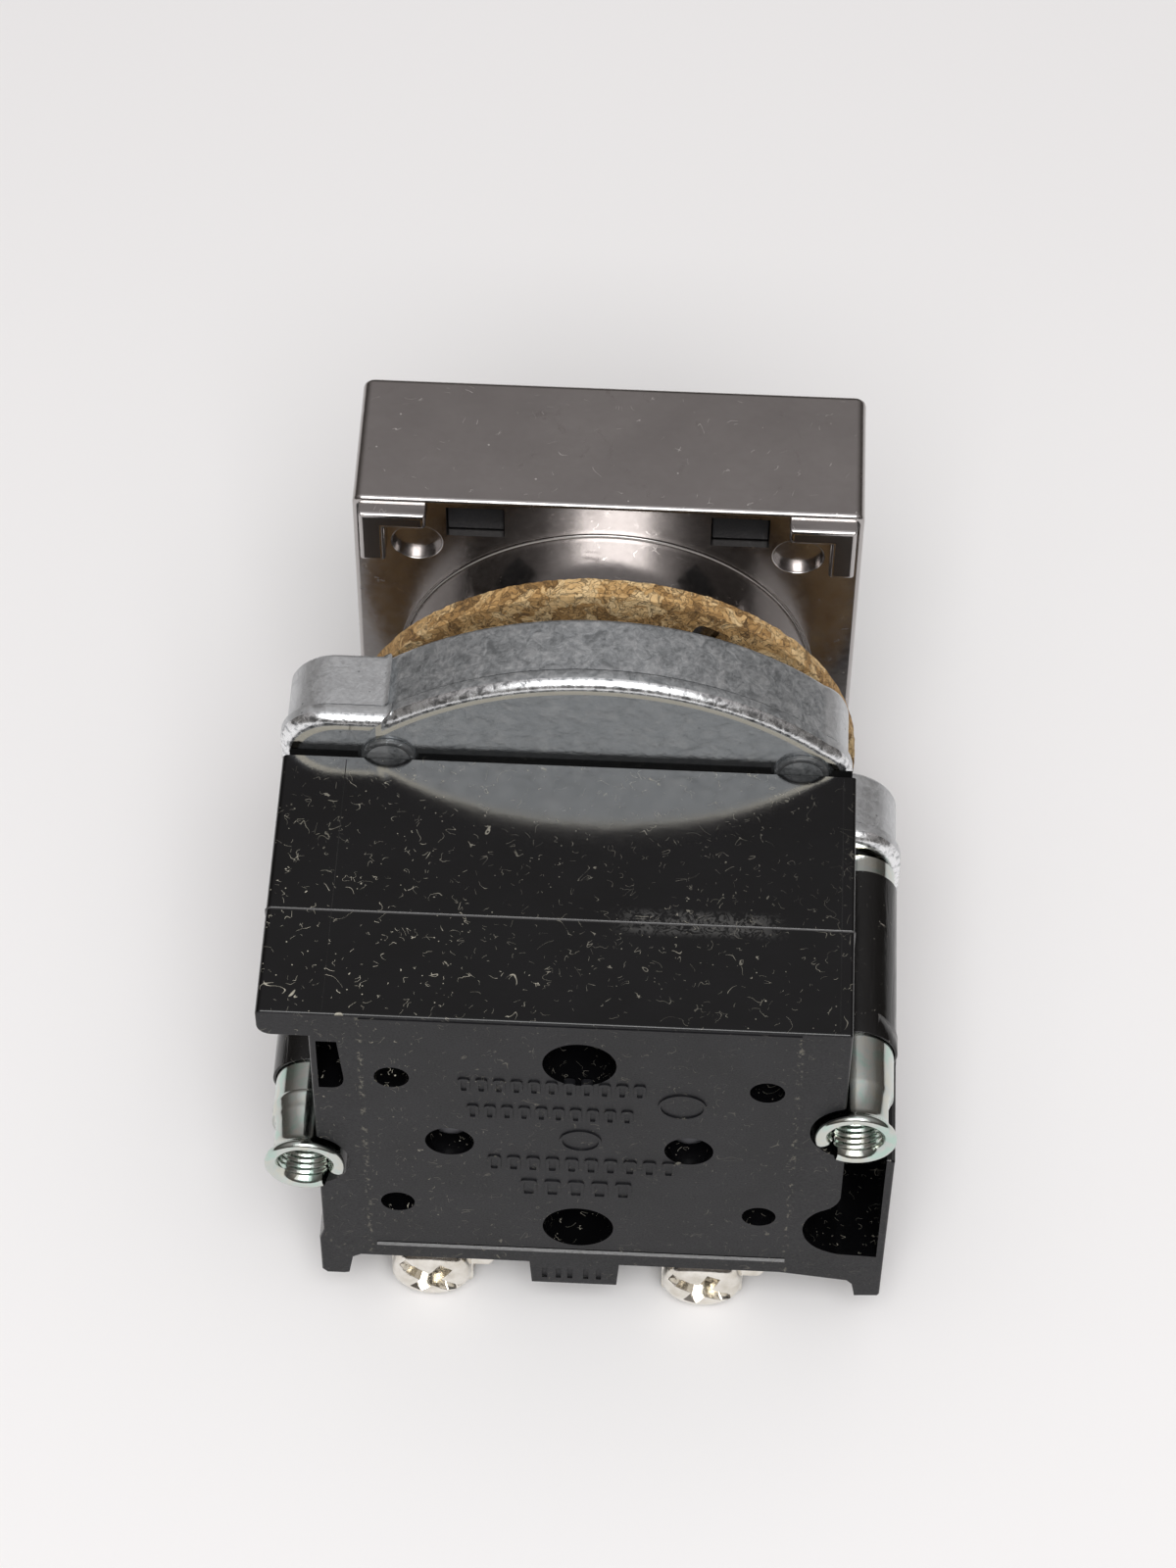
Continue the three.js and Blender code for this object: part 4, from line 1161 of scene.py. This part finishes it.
def rear_housing():
    """The rear half: flash round its joint, a raised panel with plain bars, and a ridge below the panel."""
    shell = rounded_prism(lambda inset: block_outline(-inset), BLOCK_SPLIT, BLOCK_REAR, rear=0.22)
    body = with_slots(shell, BLACK_TOP, BLACK_REAR, BLACK_WORN_AND_HIGHLIGHT)
    flash_rise = 0.1
    rings = ((flash_rise, BLOCK_SPLIT), (0.0, BLOCK_SPLIT + 1.33 * flash_rise))
    flash = loft([[(min(x, EAR_SIDE), y, z) for x, y in block_outline(grow)] for grow, z in rings])
    panel_rear = BLOCK_REAR + PANEL_RISE
    panel = box(-PANEL_SIDE, PANEL_SIDE, PANEL_LOW, BLOCK_TOP - 0.4, BLOCK_REAR - 0.4, panel_rear)
    lines = mould_lines(BLOCK_SPLIT, BLOCK_REAR - 0.3)
    join(body, coloured(flash, 2), coloured(panel, 1), panel_ridge(), *lines)
    groove = box(-17.4, PANEL_SIDE, PANEL_LOW, PANEL_LOW + 0.28, BLOCK_REAR - 0.35, BLOCK_REAR + 1)
    dents = [
        box(x, x + 0.45, BLOCK_BOTTOM - 2.6, BLOCK_BOTTOM - 1.0, BLOCK_REAR - 0.2, BLOCK_REAR + 1)
        for x in DENTS
    ]
    cut(body, groove, *dents, *block_cuts())
    join(body, *raised_marks())
    paint_rear(body)
    settle(body, "rear_housing_moulding", ["rear_housing"])


# ---------------------------------------------------------------- tubes and sleeves

BORE_RADIUS = 1.85
THREAD = {"pitch": 0.55, "depth": 0.2, "first": 0.75, "samples": 77}
MOUTH = {"wider": 0.5, "depth": 4.5}
SEAM = 1.5  # half the width of the tube's seam, in degrees
PINCH = {"from": 4.2, "to": 1.0, "depth": 0.3, "half_angle": 0.45}


def tube_profile(side, low, end):
    """(radius, z, half the seam's width, kind): back along the outside, round the lip and down the bore."""
    waist = TUBE_RADIUS - 0.2
    outside = [(TUBE_RADIUS, z) for z in (low, 50.0, 60.4)]
    if side == "left":
        outside += [(TUBE_RADIUS + 0.07, 60.5), (TUBE_RADIUS + 0.07, 60.9), (TUBE_RADIUS, 61.0)]
    outside += [(TUBE_RADIUS, end - 4.4), (TUBE_RADIUS - 0.03, end - 4.1)]
    outside += [(waist, end - 3.5), (waist, end - 2.2)]
    # (radius, distance from the end, half the width of the gap)
    lip = (
        (waist, 1.6, 4), (waist + 0.05, 1.2, 9), (3.12, 0.9, 16), (3.34, 0.66, 21),
        (3.4, 0.44, 23), (3.37, 0.22, 24), (3.22, 0.06, 24), (2.98, 0, 22),
        (2.66, 0.06, 20), (2.38, 0.28, 16), (2.2, 0.62, 12),
    )
    step = THREAD["pitch"] / 6
    return [
        *[(radius, z, SEAM, "lip") for radius, z in outside],
        *[(radius, end - depth, gap, "lip") for radius, depth, gap in lip],
        *[(BORE_RADIUS, end - THREAD["first"] - step * i, 4, "thread") for i in range(1, THREAD["samples"])],
        (BORE_RADIUS, low, SEAM, "bore"),
    ]


def guide_tube(side):
    """A rolled steel tube: a seam down its outer side, a curled rear lip with a gap, and a threaded bore."""
    node = f"guide_tube_{side}"
    centre = middle(node)
    low, high = span(node)
    gap_angle = radians(-38 if side == "left" else -142)
    outward = pi if side == "left" else 0.0
    profile = tube_profile(side, low.z, high.z)
    steps = 72
    rings = []
    for k in range(steps + 1):
        ring = []
        for radius, z, half_gap, kind in profile:
            angle = gap_angle + radians(half_gap) + (2 * pi - 2 * radians(half_gap)) * k / steps
            if kind == "thread":
                radius += MOUTH["wider"] * min(1.0, max(0.0, z - high.z + MOUTH["depth"])) + 0.05
                radius -= THREAD["depth"] * (0.5 + 0.5 * sin(2 * pi * z / THREAD["pitch"] + angle))
            if kind == "lip" and high.z - PINCH["from"] < z < high.z - PINCH["to"]:
                off = abs((angle - outward + pi) % (2 * pi) - pi)
                radius -= PINCH["depth"] * max(0.0, 1 - (off / PINCH["half_angle"]) ** 2)
            ring.append(polar(centre, radius, angle, z))
        rings.append(ring)
    settle(loft(rings), f"rolled_tube_{side}", [node], [STEEL], smooth=55)


def insulating_sleeve(side):
    """Wound film round the tube: its last turn ends on a slant near the rear."""
    node = f"insulating_sleeve_{side}"
    centre = middle(node)
    low, high = span(node)
    inner, thin, thick = TUBE_RADIUS + 0.06, SLEEVE_RADIUS - 0.12, SLEEVE_RADIUS - 0.01
    slant_low, slant_high = high.z - 4.1, high.z - 1.6
    steps = 96
    rings = []
    for k in range(steps):
        angle = 2 * pi * k / steps
        slant = slant_low + (slant_high - slant_low) * (0.5 + 0.5 * cos(angle))
        outside = [(thin, low.z + 0.05), (thin, slant - 0.1), (thick, slant), (thick, high.z - 0.08)]
        profile = outside + [(thick - 0.08, high.z), (inner, high.z), (inner, low.z), (thin - 0.06, low.z)]
        rings.append([polar(centre, radius, angle, z) for radius, z in profile])
    settle(loft(rings, closed=True), f"wound_sleeve_{side}", [node], [SLEEVE], smooth=50)


# ---------------------------------------------------------------- terminals


def terminal_screw(name):
    """A pan head with a cross recess and a straight slot, and a rolled thread below it."""
    node = f"terminal_screw_{name}"
    low, high = span(node)
    centre = middle(node)
    radius = (high.x - low.x) / 2
    seat, top = high.z - 2.0, high.z
    core, crest, pitch = 1.25, 1.6, 0.8
    # (inset, height above the seat)
    dome = ((0, 0.1), (0, 0.75), (0.1, 1.15), (0.4, 1.5), (0.95, 1.78), (1.7, 1.93))
    head = [(radius - inset, seat + height) for inset, height in dome] + [(0.8, top), (0, top)]
    thread = []
    for i in range(int((seat - low.z - 1.0) / pitch)):
        z = low.z + 0.7 + pitch * i
        thread += [(core, z), (crest, z + pitch * 0.4), (crest, z + pitch * 0.5), (core, z + pitch * 0.9)]
    tip = [(0, low.z), (0.9, low.z), (1.2, low.z + 0.4)]
    body = turned([*tip, *thread, (crest, seat), (radius - 0.1, seat), *head], centre, 72)
    turned_by = -37 if name.startswith("left") else -26
    turn = Matrix.Translation((*centre, 0)) @ Matrix.Rotation(radians(turned_by), 4, "Z")
    tools = []
    for length, width, depth, across in ((4.4, 0.55, 0.85, 0), (2.4, 0.62, 1.6, 0), (2.4, 0.62, 1.6, 90)):
        shape = rectangle(-length, length, -width, width)
        foot = [(x * 0.6, y * 0.7) for x, y in shape]
        mouth = [(x * 1.1, y * 1.15) for x, y in shape]
        arm = loft([at(top - depth, foot), at(top + 0.3, mouth)])
        arm.data.transform(turn @ Matrix.Rotation(radians(across), 4, "Z"))
        tools.append(arm)
    cut(body, *tools)
    bevelled(body, 0.06, angle=40)
    settle(body, f"pan_screw_{name}", [node], [NICKEL], smooth=40)


def pressure_plate(name):
    """A square wire clamp with jaws turned down at two sides and a small lug beside the screw."""
    node = f"pressure_plate_{name}"
    low, high = span(node)
    cx, cy = middle(f"terminal_screw_{name}")
    half = (high.y - low.y) / 2
    under = low.z + 0.35
    jaw, lug = 0.45, 0.8
    plate = prism(moved(rounded_square(half, 0.5, 4), cx, cy), under, high.z)
    ends = (cy - half + 0.4, cy + half - 0.4, low.z, low.z + 0.6)
    jaws = [box(x, x + jaw, *ends) for x in (cx - half, cx + half - jaw)]
    tip = [(cx, cy - lug), (high.x - 0.5, cy - lug), (high.x, cy), (high.x - lug, cy + lug), (cx, cy + lug)]
    join(plate, prism(tip, under, high.z), *jaws)
    cut(plate, rod(1.9, low.z - 1, high.z + 1, (cx, cy), 32))
    bevelled(plate, 0.1)
    settle(plate, f"wire_clamp_{name}", [node], [NICKEL])


def build_operator():
    bezel()
    front_frame()
    button_cap()
    cork_gasket()
    mounting_hub()
    refined("button_carrier", GREY, 0.15)
    spring("return_spring")
    refined("stem_seal", RUBBER, 0.1)
    refined("seal_washer", STEEL, 0.08)
    refined("pusher_plate", STEEL, 0.12)
    refined("stem_clip", STEEL, 0.06)


def build_flange():
    clamp_flange()
    for corner in CORNERS:
        flange_rivet(corner)
    for side, screw in zip(SIDES, CLAMP_SCREWS):
        guide_tube(side)
        insulating_sleeve(side)
        refined(screw, STEEL, 0.08)


def build_block():
    block_gasket()
    front_housing()
    rear_housing()
    for node in PINS + BLOCK_SCREWS:
        refined(node, STEEL, 0.1)
    for side, plunger in zip(SIDES, PLUNGERS):
        refined(plunger, GREY, 0.1)
        refined(f"contact_bridge_{side}", COPPER, 0.1)
        spring(f"plunger_spring_{side}")
    spring("bridge_spring_left")
    # the right bridge lifts off its contacts, and its spring stays with the plunger behind it
    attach(refined("bridge_spring_right", STEEL, 0), "plunger_right")
    for name in TERMINALS:
        refined(f"terminal_strip_{name}", BRASS, 0.1)
        pressure_plate(name)
        terminal_screw(name)


# ---------------------------------------------------------------- floor, light and camera


def floor():
    bm = bmesh.new()
    reach = 3.0
    bm.faces.new([bm.verts.new((x * reach, y * reach, 0)) for x, y in ((-1, -1), (1, -1), (1, 1), (-1, 1))])
    sheet = as_object("floor", bm)
    made = Finish("floor", (0.87, 0.86, 0.86), 0.75)
    sheet.data.materials.append(made.material)


def area_light(name, azimuth, elevation, distance, size, radiance):
    """A square light that faces the object; azimuth 0 is behind the terminals, on the side of -Y."""
    a, e = radians(azimuth), radians(elevation)
    towards = Vector((sin(a) * cos(e), -cos(a) * cos(e), sin(e)))
    light = bpy.data.lights.new(name, "AREA")
    light.size = size
    light.energy = radiance * pi * size * size
    obj = placed(name, light)
    obj.location = Vector((0, 0, AXIS_Z)) + towards * distance
    obj.rotation_euler = towards.to_track_quat("Z", "Y").to_euler()


def light_room():
    """A room that is dark and brownish near the horizon and pale overhead, with one large soft light."""
    world = bpy.data.worlds.new("room")
    room = Nodes(world)
    direction = room.out("TexCoord", output="Generated")
    sky = room.ramp(
        room.out("SeparateXYZ", {"Vector": direction}, 2),
        (0.0, (0.065, 0.056, 0.050)),
        (0.40, (0.125, 0.115, 0.108)),
        (0.78, (0.37, 0.347, 0.345)),
        (1.0, (0.80, 0.80, 0.81)),
    )
    room.feed(room.tree.nodes["Background"].inputs["Color"], sky)
    bpy.context.scene.world = world
    area_light("key", azimuth=3, elevation=54, distance=1.2, size=0.63, radiance=7.9)
    area_light("key halo", azimuth=3, elevation=54, distance=1.4, size=1.4, radiance=0.9)


def camera():
    """From behind and above, 0.4 m away, with a slight roll."""
    view = bpy.data.cameras.new("camera")
    view.sensor_fit = "VERTICAL"
    view.sensor_height = 36
    view.lens = 100.76
    view.clip_start = 0.01
    obj = placed("camera", view)
    obj.location = Vector((7.8, -229.56, 339.63)) * MM
    forward = Vector((-0.02254, 0.6012, -0.79878))
    roll = radians(0.625)
    aim = forward.to_track_quat("-Z", "Y").to_matrix().to_4x4()
    obj.rotation_euler = (aim @ Matrix.Rotation(roll, 4, "Z")).to_euler()
    bpy.context.scene.camera = obj


camera()
light_room()
floor()
bpy.context.scene.view_settings.view_transform = "Standard"
build_operator()
build_flange()
build_block()
